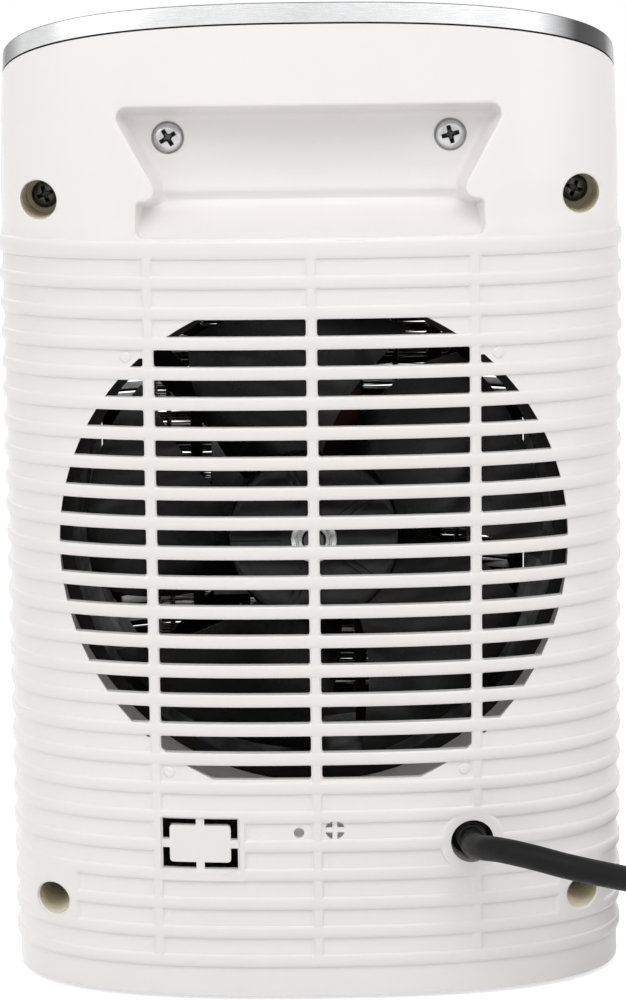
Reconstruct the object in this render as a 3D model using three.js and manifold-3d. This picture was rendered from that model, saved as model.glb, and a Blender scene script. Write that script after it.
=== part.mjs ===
// Bathroom wall fan heater: an oval white tower with a ribbed rear shell, a round air intake,
// a tilted control panel under a metal trim ring, and a 1.5 m mains lead put away in a coil.
// Millimetres, +Z up. The outlet faces -Y, the ribbed rear faces +Y, and the origin is on the
// floor at the middle of the body's box.
import * as THREE from 'three';
import { mergeVertices } from 'three/addons/utils/BufferGeometryUtils.js';
import Module from 'manifold-3d';

const wasm = await Module();
wasm.setup();

// ---------------------------------------------------------------- driving dimensions

// The body's plan is a superellipse whose rear half is shallower than its front half.
const HALF_WIDTH = 90;
const REAR_DEPTH = 49.6;
const FRONT_DEPTH = 70.4;
const PLAN_POWER = 2.55;
const PLAN_STEPS = 12; // straight steps in each half of the plan
const WALL = 2.2;
const GAP = 0.3; // between pieces that touch
const SEAM_Y = -6; // front and rear shells meet here, measured from the plan's centre

// Heights.
const FOOT_HEIGHT = 1.5;
const FOLD_Z = FOOT_HEIGHT + 234; // above this line the wall leans inwards
const RING_REAR_Z = FOOT_HEIGHT + 278.6; // lower edge of the trim ring at the rear
const RING_HEIGHT = 5.9;
const RING_SLOPE = 0.36; // the ring and the panel fall towards the front
const RING_LEAN = 1.9; // how far the wall has leaned in at the ring's rear

// Ribs of the rear shell.
const RIB_COUNT = 24;
const RIB_PITCH = 8.52;
const RIB_THICK = 3.6;
const FIRST_RIB_Z = FOOT_HEIGHT + 10.5;
const RIB_PROUD = 1;
const TOP_RIB = { low: FOOT_HEIGHT + 213, high: FOOT_HEIGHT + 218.1 };
const BAR_X = 46;
const BAR_WIDTH = 3.1;
const RIB_ROOT = 1.7; // how deep the ribs reach into the wall

// The fan's axis and the intake round it.
const FAN_Z = FOOT_HEIGHT + 130.8;
const INTAKE_RADIUS = 72.9;
const COLLAR_RADIUS = 73.5;
const INTAKE_LOW = FOOT_HEIGHT + 64.2;
const INTAKE_HIGH = FOOT_HEIGHT + 196.4;

// The box's middle is behind the plan's widest line, because the two depths differ.
const PLAN_Y = (FRONT_DEPTH - REAR_DEPTH - RIB_PROUD) / 2;
const RING_TILT = Math.atan(RING_SLOPE);

// Mains lead.
const CORD_RADIUS = 3.6;
const CORD_SIDES = 8;
const CORD_EXIT_X = -44.5;
const CORD_EXIT_Z = FOOT_HEIGHT + 44.7;

// ---------------------------------------------------------------- materials

function material(color, roughness, metalness = 0) {
  return new THREE.MeshStandardMaterial({ color, roughness, metalness });
}

const glossWhite = () => material(0xf0eeec, 0.25);
const satinWhite = () => material(0xf2efeb, 0.4);
const brushedMetal = () => material(0xb9bbbd, 0.3, 1);
const blackPlastic = () => material(0x141414, 0.5);
const rubber = () => material(0x232323, 0.75);
const steel = () => material(0xc4c5c6, 0.35, 1);
const darkSteel = () => material(0x6c6e70, 0.45, 1);
const mica = () => material(0xa89a80, 0.6);
const nichrome = () => material(0xb5b0a8, 0.35, 1);
const copper = () => material(0xa8613a, 0.4, 1);
const bronze = () => material(0x9a7440, 0.45, 1);
const phenolic = () => material(0x3a2c22, 0.6);
const ceramic = () => material(0xe4e0d6, 0.5);
const amber = () => material(0xd9731c, 0.2);

// ---------------------------------------------------------------- solids

// A closed geometry as a solid that can be joined and cut, with its faces turned outwards.
function solid(geometry) {
  const bare = geometry.clone();
  bare.deleteAttribute('normal');
  bare.deleteAttribute('uv');
  const merged = mergeVertices(bare, 1e-4);
  const p = merged.attributes.position;
  const corner = [new THREE.Vector3(), new THREE.Vector3(), new THREE.Vector3()];
  const faces = [];
  let volume = 0;
  for (let i = 0; i < merged.index.count; i += 3) {
    const [a, b, c] = [0, 1, 2].map((k) => merged.index.getX(i + k));
    if (a === b || b === c || c === a) continue;
    faces.push([a, b, c]);
    [a, b, c].forEach((vertex, k) => corner[k].fromBufferAttribute(p, vertex));
    volume += corner[0].dot(corner[1].cross(corner[2]));
  }
  const outward = volume > 0 ? faces : faces.map(([a, b, c]) => [a, c, b]);
  const shape = { numProp: 3, vertProperties: p.array, triVerts: Uint32Array.from(outward.flat()) };
  return new wasm.Manifold(new wasm.Mesh(shape));
}

function geometryOf(manifold) {
  const mesh = manifold.getMesh();
  const geometry = new THREE.BufferGeometry();
  geometry.setAttribute('position', new THREE.BufferAttribute(mesh.vertProperties, 3));
  geometry.setIndex(new THREE.BufferAttribute(mesh.triVerts, 1));
  geometry.computeVertexNormals();
  return geometry;
}

function joined(first, ...others) {
  return others.reduce((whole, other) => whole.add(other), first);
}

function cut(base, ...tools) {
  return tools.reduce((rest, tool) => rest.subtract(tool), base);
}

// A box from its lowest to its highest corner.
function block(x0, x1, y0, y1, z0, z1) {
  const box = new THREE.BoxGeometry(x1 - x0, y1 - y0, z1 - z0);
  box.translate((x0 + x1) / 2, (y0 + y1) / 2, (z0 + z1) / 2);
  return solid(box);
}

// A round bar along Y from y0 to y1, with its axis at x, z.
function barAlongY(radius, y0, y1, x = 0, z = 0, sides = 24, endRadius = radius) {
  const bar = new THREE.CylinderGeometry(endRadius, radius, y1 - y0, sides);
  bar.translate(x, (y0 + y1) / 2, z);
  return solid(bar);
}

// A round bar along Z from z0 to z1, with its axis at x, y.
function barAlongZ(radius, z0, z1, x = 0, y = 0, sides = 20, endRadius = radius) {
  const bar = new THREE.CylinderGeometry(endRadius, radius, z1 - z0, sides);
  bar.rotateX(Math.PI / 2);
  bar.translate(x, y, (z0 + z1) / 2);
  return solid(bar);
}

function tubeAlongY(outer, inner, y0, y1, x = 0, z = 0, sides = 24) {
  return cut(
    barAlongY(outer, y0, y1, x, z, sides),
    barAlongY(inner, y0 - 1, y1 + 1, x, z, sides),
  );
}

// A flat outline of [x, z] corners, made thick from y0 to y1.
function plateXZ(corners, y0, y1) {
  const shape = new THREE.Shape(corners.map(([x, z]) => new THREE.Vector2(x, z)));
  const plate = new THREE.ExtrudeGeometry(shape, { depth: y1 - y0, bevelEnabled: false });
  plate.rotateX(Math.PI / 2);
  plate.translate(0, y1, 0);
  return solid(plate);
}

// A flat outline of [y, z] corners, made thick from x0 to x1.
function plateYZ(corners, x0, x1) {
  const shape = new THREE.Shape(corners.map(([y, z]) => new THREE.Vector2(y, z)));
  const plate = new THREE.ExtrudeGeometry(shape, { depth: x1 - x0, bevelEnabled: false });
  plate.rotateY(Math.PI / 2);
  plate.rotateX(Math.PI / 2);
  plate.translate(x0, 0, 0);
  return solid(plate);
}

// A closed skin over rings of points that go round anticlockwise from above, lowest ring first.
function loft(rings) {
  const count = rings[0].length;
  const last = rings.length - 1;
  const points = rings.flat();
  const faces = [];
  for (let i = 0; i < last; i += 1) {
    for (let j = 0; j < count; j += 1) {
      const next = (j + 1) % count;
      const [a, b] = [i * count + j, i * count + next];
      faces.push(a, b, b + count, a, b + count, a + count);
    }
  }
  for (const [ring, order] of [[0, -1], [last, 1]]) {
    const middle = rings[ring].reduce((sum, p) => sum.add(p), new THREE.Vector3());
    points.push(middle.divideScalar(count));
    for (let j = 0; j < count; j += 1) {
      const pair = [ring * count + j, ring * count + ((j + 1) % count)];
      if (order < 0) pair.reverse();
      faces.push(points.length - 1, ...pair);
    }
  }
  const geometry = new THREE.BufferGeometry().setFromPoints(points);
  geometry.setIndex(faces);
  return geometry;
}

// A tube of the given radius through the points, closed at both ends.
function sweep(points, radius, sides) {
  const tangent = (i) => {
    const [a, b] = [points[Math.max(i - 1, 0)], points[Math.min(i + 1, points.length - 1)]];
    return b.clone().sub(a).normalize();
  };
  let along = tangent(0);
  const upright = Math.abs(along.z) > 0.9 ? new THREE.Vector3(1, 0, 0) : new THREE.Vector3(0, 0, 1);
  const side = upright.cross(along).normalize();
  const rings = points.map((point, i) => {
    const now = tangent(i);
    side.applyQuaternion(new THREE.Quaternion().setFromUnitVectors(along, now));
    along = now;
    const other = along.clone().cross(side);
    return Array.from({ length: sides }, (_, k) => {
      const angle = (2 * Math.PI * k) / sides;
      return point.clone()
        .addScaledVector(side, radius * Math.cos(angle))
        .addScaledVector(other, radius * Math.sin(angle));
    });
  });
  return geometryOf(solid(loft(rings)));
}

// ---------------------------------------------------------------- the body's plan

function power(value, exponent) {
  return Math.sign(value) * Math.abs(value) ** exponent;
}

function planPoint(angle, inset) {
  const depth = Math.sin(angle) >= 0 ? REAR_DEPTH : FRONT_DEPTH;
  const x = (HALF_WIDTH - inset) * power(Math.cos(angle), 2 / PLAN_POWER);
  const y = (depth - inset) * power(Math.sin(angle), 2 / PLAN_POWER);
  return new THREE.Vector2(x, y);
}

function ringPlane(rise) {
  return (y) => RING_REAR_Z + rise + RING_SLOPE * (y - REAR_DEPTH);
}

// How far the wall has leaned in at a height.
function leanAt(z) {
  return Math.max(0, (RING_LEAN * (z - FOLD_Z)) / (RING_REAR_Z - FOLD_Z));
}

// One ring of the plan, inset from the body's smooth wall, at a height that may depend on y.
function planRing(inset, height) {
  return Array.from({ length: 2 * PLAN_STEPS }, (_, k) => {
    const angle = (Math.PI * k) / PLAN_STEPS;
    const level = typeof height === 'number' ? () => height : height;
    const z = level(planPoint(angle, inset + 1).y);
    const p = planPoint(angle, inset + leanAt(z));
    return new THREE.Vector3(p.x, p.y, level(p.y));
  });
}

// The solid inside an inset of the wall, between two heights.
function column(inset, low, high) {
  const crossesFold = typeof high !== 'number' || high > FOLD_Z;
  const levels = crossesFold ? [low, FOLD_Z, high] : [low, high];
  return solid(loft(levels.map((level) => planRing(inset, level))));
}

const SHELL_TOP = ringPlane(-GAP);
const OVER = ringPlane(12);
const wallOuter = column(0, FOOT_HEIGHT, SHELL_TOP);

// A curved layer between two insets of the wall.
function layer(outer, inner, low, high) {
  return cut(column(outer, low, high), column(inner, -20, OVER));
}

const FAR = 200;
const rearHalf = block(-FAR, FAR, SEAM_Y + GAP / 2, FAR, -FAR, 2 * FAR);
const frontHalf = block(-FAR, FAR, -FAR, SEAM_Y - GAP / 2, -FAR, 2 * FAR);

// ---------------------------------------------------------------- scene helpers

const group = new THREE.Group();
group.name = 'bathroom_fan_heater';

// Everything in the body is measured from the plan's centre.
const body = new THREE.Group();
body.position.y = PLAN_Y;
group.add(body);

// The fan, motor and heater are measured from the fan's axis.
const fan = new THREE.Group();
fan.position.z = FAN_Z;
body.add(fan);

function add(parent, name, finish, shape, [x, y, z] = [0, 0, 0]) {
  const geometry = shape.isBufferGeometry ? shape : geometryOf(shape);
  const mesh = new THREE.Mesh(geometry, finish);
  mesh.name = name;
  mesh.position.set(x, y, z);
  parent.add(mesh);
  return mesh;
}

const SIDES = [['left', -1], ['right', 1]];

// ---------------------------------------------------------------- screws

// A pan-head screw with a cross recess, driven along -Y. Its head's underside is at y = 0.
function screw(headRadius, headHeight, shankRadius, shankLength) {
  const head = barAlongY(headRadius, 0, headHeight, 0, 0, 16, headRadius * 0.72);
  const shank = barAlongY(shankRadius, -shankLength, 0.1, 0, 0, 10);
  const slotLength = headRadius * 0.55;
  const slotWidth = headRadius * 0.14;
  const deep = headHeight * 0.45;
  const cross = joined(
    block(-slotLength, slotLength, deep, headHeight + 1, -slotWidth, slotWidth),
    block(-slotWidth, slotWidth, deep, headHeight + 1, -slotLength, slotLength),
  );
  return cut(joined(head, shank), cross);
}

// ---------------------------------------------------------------- grip recess

// Seen from behind: wide at the top, narrowing to a neck, with a pocket below it.
const RECESS = {
  top: FOOT_HEIGHT + 255.1,
  shoulder: FOOT_HEIGHT + 251.7,
  neck: FOOT_HEIGHT + 231.4,
  step: FOOT_HEIGHT + 228.4,
  bottom: FOOT_HEIGHT + 218.8,
  backY: 35.6,
  slopeFrom: FOOT_HEIGHT + 233,
};
const RECESS_WALL = 2;
const RECESS_SCREW = { x: 39.7, z: FOOT_HEIGHT + 246.4 };

function recessOutline(grow) {
  const half = [
    [51.6 + grow, RECESS.top + grow],
    [53.4 + grow, RECESS.shoulder],
    [44.1 + grow, RECESS.neck],
    [49.2 + grow, RECESS.step],
    [49.5 + grow, RECESS.bottom - grow],
  ];
  return [...half, ...half.map(([x, z]) => [-x, z]).reverse()];
}

function recessSolid(grow) {
  const y = RECESS.backY - grow;
  const side = [
    [y, RECESS.top + 9],
    [y, RECESS.slopeFrom - grow],
    [REAR_DEPTH - 2.5 - grow, RECESS.bottom + 1 - grow],
    [REAR_DEPTH + 9, RECESS.bottom - 6 - grow],
    [REAR_DEPTH + 9, RECESS.top + 9],
  ];
  const wide = plateXZ(recessOutline(grow), RECESS.backY - 9, REAR_DEPTH + 9);
  return wide.intersect(plateYZ(side, -70, 70));
}

// ---------------------------------------------------------------- screw wells at the corners

const WELL_FLOOR_Y = 1.5;
const WELL_FLOOR = 2.5;
const WELLS = [
  { name: 'top', x: 76.9, z: FOOT_HEIGHT + 229.1, radius: 5.5 },
  { name: 'bottom', x: 77.3, z: FOOT_HEIGHT + 25.1, radius: 4.7 },
];
const SHANK_RADIUS = 1.9;
const POST_RADIUS = 5;

// ---------------------------------------------------------------- rear shell

function ribLevels() {
  const levels = [[TOP_RIB.low, TOP_RIB.high]];
  for (let k = 0; k < RIB_COUNT; k += 1) {
    const z = FIRST_RIB_Z + RIB_PITCH * k;
    levels.push([z - RIB_THICK / 2, z + RIB_THICK / 2]);
  }
  return levels;
}

// A window held by four narrow bridges, and a small vent beside it.
const WINDOW = { x: 33.7, z: FOOT_HEIGHT + 45.1, halfWidth: 10.8, halfHeight: 7.4, slot: 2 };
const PINHOLE = { x: 5.3, z: FOOT_HEIGHT + 48.4, radius: 1.5 };

function windowSlots() {
  const { x, z, halfWidth, halfHeight, slot } = WINDOW;
  const ring = cut(
    block(x - halfWidth, x + halfWidth, 30, 60, z - halfHeight, z + halfHeight),
    block(x - halfWidth + slot, x + halfWidth - slot, 29, 61,
      z - halfHeight + slot, z + halfHeight - slot),
  );
  return cut(
    ring,
    block(x - 1.2, x + 1.2, 29, 61, z - 20, z + 20),
    block(x - 20, x + 20, 29, 61, z - 1.2, z + 1.2),
  );
}

function makeRearShell() {
  const skin = layer(0, WALL, FOOT_HEIGHT, SHELL_TOP);
  const opening = barAlongY(INTAKE_RADIUS, 0, 80, 0, FAN_Z, 32)
    .intersect(block(-FAR, FAR, 0, 80, INTAKE_LOW, INTAKE_HIGH));
  const slabs = ribLevels().map(([low, high]) => block(-FAR, FAR, SEAM_Y, FAR, low, high));
  const bars = [-BAR_X, 0, BAR_X].map((x) => block(
    x - BAR_WIDTH / 2, x + BAR_WIDTH / 2, 10, FAR, INTAKE_LOW - 1, INTAKE_HIGH + 1,
  ));
  const [padLow] = ribLevels()[2];
  const [, padHigh] = ribLevels()[4];
  const pads = SIDES.map(([, side]) => block(
    Math.min(side * 69.2, side * FAR), Math.max(side * 69.2, side * FAR), 5, FAR,
    padLow, padHigh,
  ));
  const ribs = layer(-RIB_PROUD, RIB_ROOT, FOOT_HEIGHT + 1, FOLD_Z)
    .intersect(joined(...slabs, ...bars, ...pads));
  const collar = tubeAlongY(COLLAR_RADIUS + WALL, COLLAR_RADIUS, 24, 60, 0, FAN_Z, 32);
  const exitBoss = barAlongY(9.3, 38, REAR_DEPTH - 2.6, CORD_EXIT_X, CORD_EXIT_Z, 16);

  let shell = joined(cut(skin, opening), ribs);
  shell = joined(shell, joined(collar, exitBoss).intersect(wallOuter));
  shell = joined(shell, recessSolid(RECESS_WALL).intersect(wallOuter));
  const holes = [];
  for (const [, side] of SIDES) {
    for (const { x, z, radius } of WELLS) {
      const well = barAlongY(radius + WALL, WELL_FLOOR_Y, 60, side * x, z, 12);
      shell = joined(shell, well.intersect(wallOuter));
      holes.push(barAlongY(radius, WELL_FLOOR_Y + WELL_FLOOR, 60, side * x, z, 12));
      holes.push(barAlongY(SHANK_RADIUS + GAP, 0, 60, side * x, z, 10));
    }
    const boss = barAlongY(6.5, RECESS.backY - 9, RECESS.backY - 1, side * RECESS_SCREW.x,
      RECESS_SCREW.z, 16);
    shell = joined(shell, boss);
    holes.push(barAlongY(4.65, RECESS.backY - 1.2, 60, side * RECESS_SCREW.x, RECESS_SCREW.z, 16));
    holes.push(barAlongY(SHANK_RADIUS + GAP, 10, 60, side * RECESS_SCREW.x, RECESS_SCREW.z, 10));
  }
  holes.push(barAlongY(6.2, 30, 60, CORD_EXIT_X, CORD_EXIT_Z, 16));
  holes.push(barAlongY(PINHOLE.radius, 40, 60, PINHOLE.x, PINHOLE.z, 8));
  holes.push(recessSolid(0), windowSlots());
  return cut(shell, ...holes).intersect(rearHalf);
}

add(body, 'rear_shell', satinWhite(), makeRearShell());

// ---------------------------------------------------------------- front shell and outlet grille

const OUTLET = { halfWidth: 66, low: FAN_Z - 72, high: FAN_Z + 72 };
const GRILLE_INSET = 0.5;
const SLAT_COUNT = 10;

function makeFrontShell() {
  let shell = layer(0, WALL, FOOT_HEIGHT, SHELL_TOP);
  const bores = [];
  for (const [, side] of SIDES) {
    for (const { x, z } of WELLS) {
      const post = barAlongY(POST_RADIUS, -60, WELL_FLOOR_Y - GAP, side * x, z, 16);
      shell = joined(shell, post.intersect(wallOuter));
      bores.push(barAlongY(SHANK_RADIUS + GAP, -15, 20, side * x, z, 10));
    }
  }
  const window = block(-OUTLET.halfWidth, OUTLET.halfWidth, -90, -20, OUTLET.low, OUTLET.high);
  const ahead = joined(frontHalf, block(-FAR, FAR, -40, WELL_FLOOR_Y, -FAR, 2 * FAR)
    .intersect(joined(...SIDES.flatMap(([, side]) => WELLS.map(({ x, z }) => (
      barAlongY(POST_RADIUS, -40, WELL_FLOOR_Y, side * x, z, 16)
    ))))));
  return cut(shell, window, ...bores).intersect(ahead);
}

function makeOutletGrille() {
  const { halfWidth, low, high } = OUTLET;
  const face = layer(GRILLE_INSET, WALL + GAP, low - 9, high + 9).intersect(block(
    -halfWidth + GAP, halfWidth - GAP, -90, -20, low + GAP, high - GAP,
  ));
  const flange = layer(WALL + GAP, WALL + GAP + 1.6, low - 9, high + 9).intersect(block(
    -halfWidth - 3.5, halfWidth + 3.5, -90, -20, low - 4, high + 4,
  ));
  const pitch = (high - low - 8) / SLAT_COUNT;
  const slots = [];
  for (let k = 0; k < SLAT_COUNT; k += 1) {
    const z = low + 4 + pitch * k;
    slots.push(block(-halfWidth + 5, -1.5, -90, -20, z + 1.6, z + pitch - 1.6));
    slots.push(block(1.5, halfWidth - 5, -90, -20, z + 1.6, z + pitch - 1.6));
  }
  return cut(joined(face, flange), joined(...slots));
}

add(body, 'front_shell', glossWhite(), makeFrontShell());
add(body, 'outlet_grille', blackPlastic(), makeOutletGrille());

// ---------------------------------------------------------------- trim ring and top panel

const RING_THICK = 2.4;
const LEDGE_DEPTH = 6;
const LEDGE_HEIGHT = 1.5;
const PANEL_BELOW_RING = 1.8;
const PANEL_RISE = RING_HEIGHT - PANEL_BELOW_RING; // panel face above the ring's lower edge

function slantedColumn(inset, low, high) {
  return solid(loft([planRing(inset, ringPlane(low)), planRing(inset, ringPlane(high))]));
}

function makeTrimRing() {
  return cut(
    slantedColumn(0.1, 0, RING_HEIGHT),
    slantedColumn(RING_THICK, LEDGE_HEIGHT, RING_HEIGHT + 9),
    slantedColumn(LEDGE_DEPTH, -9, RING_HEIGHT + 9),
  );
}

// Places on the tilted panel's face: the controls stand square to it.
const CONTROL_Y = -12;
const CONTROL_X = 36;
const LENS_Y = -46;

function onPanel(x, y) {
  const place = new THREE.Group();
  place.position.set(x, y, ringPlane(PANEL_RISE)(y));
  place.rotation.x = RING_TILT;
  body.add(place);
  return place;
}

function throughPanel(radius, x, y) {
  const hole = new THREE.CylinderGeometry(radius, radius, 40, 20);
  hole.rotateX(Math.PI / 2 + RING_TILT);
  hole.translate(x, y, ringPlane(PANEL_RISE)(y));
  return solid(hole);
}

const BUSH_RADIUS = 5;
const LENS_RADIUS = 3.4;

function makeTopPanel() {
  const plate = slantedColumn(RING_THICK + GAP, LEDGE_HEIGHT + GAP, PANEL_RISE);
  return cut(
    plate,
    throughPanel(BUSH_RADIUS + GAP, -CONTROL_X, CONTROL_Y),
    throughPanel(BUSH_RADIUS + GAP, CONTROL_X, CONTROL_Y),
    throughPanel(LENS_RADIUS + GAP, 0, LENS_Y),
  );
}

add(body, 'top_trim_ring', brushedMetal(), makeTrimRing());
add(body, 'top_panel', glossWhite(), makeTopPanel());

// ---------------------------------------------------------------- controls

const KNOB_RADIUS = 17;
const KNOB_HEIGHT = 15;
const KNOB_LIFT = 2.2; // the knobs' lower rim above the panel
const SPINDLE_RADIUS = 3;

function makeControlBody(halfWidth, halfLength, height) {
  const box = block(-halfWidth, halfWidth, -halfLength, halfLength, -3.4 - height, -3.4);
  const bush = barAlongZ(BUSH_RADIUS, -4, 1.6);
  const bore = barAlongZ(SPINDLE_RADIUS + GAP, -14, 9);
  return cut(joined(box, bush), bore);
}

function makeKnob() {
  const skirt = barAlongZ(KNOB_RADIUS, KNOB_LIFT, KNOB_LIFT + 4, 0, 0, 24, KNOB_RADIUS - 0.6);
  const grip = barAlongZ(KNOB_RADIUS - 3.2, KNOB_LIFT + 3.9, KNOB_LIFT + KNOB_HEIGHT, 0, 0, 24,
    KNOB_RADIUS - 4.2);
  const pointer = block(-1, 1, 3, KNOB_RADIUS - 3.4, KNOB_LIFT + KNOB_HEIGHT - 1,
    KNOB_LIFT + KNOB_HEIGHT + 0.7);
  const socket = barAlongZ(SPINDLE_RADIUS + GAP, 0, KNOB_LIFT + 10);
  return cut(joined(skirt, grip, pointer), socket);
}

const CONTROLS = [
  { name: 'thermostat', x: -CONTROL_X, halfWidth: 14, halfLength: 13, height: 17 },
  { name: 'selector', x: CONTROL_X, halfWidth: 15, halfLength: 15, height: 21 },
];
for (const { name, x, halfWidth, halfLength, height } of CONTROLS) {
  const place = onPanel(x, CONTROL_Y);
  add(place, `${name}_body`, name === 'selector' ? phenolic() : ceramic(),
    makeControlBody(halfWidth, halfLength, height));
  add(place, `${name}_spindle`, steel(), barAlongZ(SPINDLE_RADIUS, -13, KNOB_LIFT + 9, 0, 0, 16));
  add(place, `${name}_knob`, blackPlastic(), makeKnob());
}

function makeLens() {
  const profile = [
    [0, -7], [LENS_RADIUS, -7], [LENS_RADIUS, 0.3], [LENS_RADIUS * 0.87, 1],
    [LENS_RADIUS * 0.5, 1.6], [0, 1.8],
  ];
  const lens = new THREE.LatheGeometry(profile.map(([r, h]) => new THREE.Vector2(r, h)), 16);
  lens.rotateX(Math.PI / 2);
  return solid(lens);
}

add(onPanel(0, LENS_Y), 'indicator_lens', amber(), makeLens());

// ---------------------------------------------------------------- base plate and feet

const BASE_THICK = 2.5;
const FOOT = { radius: 7, stem: 2.2, rise: 5 };
const FEET = [
  { name: 'front_left', x: -58, y: -38 },
  { name: 'front_right', x: 58, y: -38 },
  { name: 'rear_left', x: -58, y: 22 },
  { name: 'rear_right', x: 58, y: 22 },
];

function makeBasePlate() {
  const plate = column(WALL + GAP, FOOT_HEIGHT, FOOT_HEIGHT + BASE_THICK);
  return cut(plate, ...FEET.map(({ x, y }) => barAlongZ(FOOT.stem + GAP, 0, 9, x, y, 12)));
}

function makeFoot() {
  const pad = barAlongZ(FOOT.radius, 0, FOOT_HEIGHT - GAP);
  return joined(pad, barAlongZ(FOOT.stem, 0.5, FOOT_HEIGHT + FOOT.rise, 0, 0, 12));
}

add(body, 'base_plate', blackPlastic(), makeBasePlate());
for (const { name, x, y } of FEET) {
  add(body, `foot_${name}`, rubber(), makeFoot(), [x, y, 0]);
}

// ---------------------------------------------------------------- fasteners of the shells

for (const [sideName, side] of SIDES) {
  for (const { name, x, z } of WELLS) {
    add(body, `corner_screw_${name}_${sideName}`, steel(), screw(4, 2.4, SHANK_RADIUS, 15),
      [side * x, WELL_FLOOR_Y + WELL_FLOOR + GAP, z]);
  }
  add(body, `recess_screw_${sideName}`, steel(), screw(4.15, 2.4, SHANK_RADIUS, 12),
    [side * RECESS_SCREW.x, RECESS.backY - 1.2 + GAP, RECESS_SCREW.z]);
}

// ---------------------------------------------------------------- fan duct

const DUCT_RADIUS = 70;
const DUCT_WALL = 2.2;
const DUCT_FRONT_Y = -24;
const DUCT_REAR_Y = 23.5;

function makeFanDuct() {
  return joined(
    tubeAlongY(DUCT_RADIUS + DUCT_WALL, DUCT_RADIUS, DUCT_FRONT_Y, DUCT_REAR_Y, 0, 0, 28),
    tubeAlongY(80, DUCT_RADIUS + 1, DUCT_REAR_Y - 2.5, DUCT_REAR_Y, 0, 0, 28),
  );
}

add(fan, 'fan_duct', blackPlastic(), makeFanDuct());

// ---------------------------------------------------------------- motor

const CORE_FRONT_Y = -15;
const CORE_REAR_Y = 0;
const SHAFT_RADIUS = 3;
const MOTOR_SCREW_X = 25;
const BRACKET = { leg: 3, strap: 3, halfWidth: 30, halfHeight: 8 };

function makeMotorCore() {
  const plate = block(-30, 30, CORE_FRONT_Y, CORE_REAR_Y, -22, 33);
  return cut(
    plate,
    barAlongY(13.6, -30, 30),
    block(-15, 15, -30, 30, 17, 25),
    ...SIDES.map(([, side]) => barAlongY(2.3, -30, 30, side * MOTOR_SCREW_X, 0, 10)),
  );
}

function makeMotorCoil() {
  return cut(
    block(-14.5, 14.5, CORE_FRONT_Y - 5.5, CORE_REAR_Y + 5.5, 17.4, 40),
    block(-20, 20, CORE_FRONT_Y - GAP, CORE_REAR_Y + GAP, 25 - GAP, 33 + GAP),
  );
}

// A strap across the core with two legs and a bearing seat; it faces +Y from y = 0.
function makeBracket() {
  const { leg, strap, halfWidth, halfHeight } = BRACKET;
  const bridge = block(-halfWidth, halfWidth, leg, leg + strap, -halfHeight, halfHeight);
  const legs = SIDES.map(([, side]) => block(
    side * 25 - 5, side * 25 + 5, 0, leg + 0.5, -halfHeight, halfHeight,
  ));
  const seat = barAlongY(9, leg, leg + strap + 2, 0, 0, 14);
  return cut(
    joined(bridge, ...legs, seat),
    barAlongY(6 + GAP, -9, 20, 0, 0, 14),
    ...SIDES.map(([, side]) => barAlongY(2.3, -9, 20, side * MOTOR_SCREW_X, 0, 10)),
  );
}

function makeBearing() {
  return tubeAlongY(6, SHAFT_RADIUS + GAP, BRACKET.leg + 0.3, BRACKET.leg + 5, 0, 0, 14);
}

function makeRotor() {
  return joined(
    barAlongY(13, CORE_FRONT_Y, CORE_REAR_Y),
    barAlongY(SHAFT_RADIUS, -23.5, 36, 0, 0, 12),
  );
}

add(fan, 'motor_core', darkSteel(), makeMotorCore());
add(fan, 'motor_coil', copper(), makeMotorCoil());
add(fan, 'motor_rotor', steel(), makeRotor());
add(fan, 'motor_rear_bracket', steel(), makeBracket(), [0, CORE_REAR_Y + GAP, 0]);
add(fan, 'motor_rear_bearing', bronze(), makeBearing(), [0, CORE_REAR_Y + GAP, 0]);
const frontBracket = add(fan, 'motor_front_bracket', steel(), makeBracket(),
  [0, CORE_FRONT_Y - GAP, 0]);
frontBracket.rotation.z = Math.PI;
const frontBearing = add(fan, 'motor_front_bearing', bronze(), makeBearing(),
  [0, CORE_FRONT_Y - GAP, 0]);
frontBearing.rotation.z = Math.PI;

const MOUNT_REAR_Y = CORE_FRONT_Y - GAP - BRACKET.leg - BRACKET.strap - GAP;
const MOUNT_THICK = 1.5;

// A cross of four arms that carries the motor from the duct's wall.
function makeMotorMount() {
  const [front, rear] = [MOUNT_REAR_Y - MOUNT_THICK, MOUNT_REAR_Y];
  const reach = DUCT_RADIUS - GAP;
  const arms = [45, 135].map((degrees) => {
    const arm = new THREE.BoxGeometry(2 * reach, MOUNT_THICK, 9);
    arm.rotateY(THREE.MathUtils.degToRad(degrees));
    arm.translate(0, (front + rear) / 2, 0);
    return solid(arm);
  });
  const plate = block(-31, 31, front, rear, -14, 14);
  const disc = barAlongY(reach, front, rear, 0, 0, 28);
  return cut(
    joined(plate, ...arms).intersect(disc),
    barAlongY(10, -40, 0),
    ...SIDES.map(([, side]) => barAlongY(2.3, -40, 0, side * MOTOR_SCREW_X, 0, 10)),
  );
}

add(fan, 'motor_mount', steel(), makeMotorMount());
for (const [sideName, side] of SIDES) {
  const place = [side * MOTOR_SCREW_X, MOUNT_REAR_Y - MOUNT_THICK - GAP, 0];
  const motorScrew = add(fan, `motor_screw_${sideName}`, darkSteel(), screw(3.6, 2, 2, 27), place);
  motorScrew.rotation.z = Math.PI;
}

// ---------------------------------------------------------------- impeller

const IMPELLER = { frontY: 9.5, rearY: 31, hubRadius: 25, tipRadius: 66.5, blades: 5 };
const BLADE_STATIONS = [IMPELLER.hubRadius - 1.5, 38, 52, IMPELLER.tipRadius];
const BLADE_STEPS = 4;
const BLADE_THICK = 1.6;
const BLADE_SWEEP = THREE.MathUtils.degToRad(60);
const FIRST_BLADE = -0.113;

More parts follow.
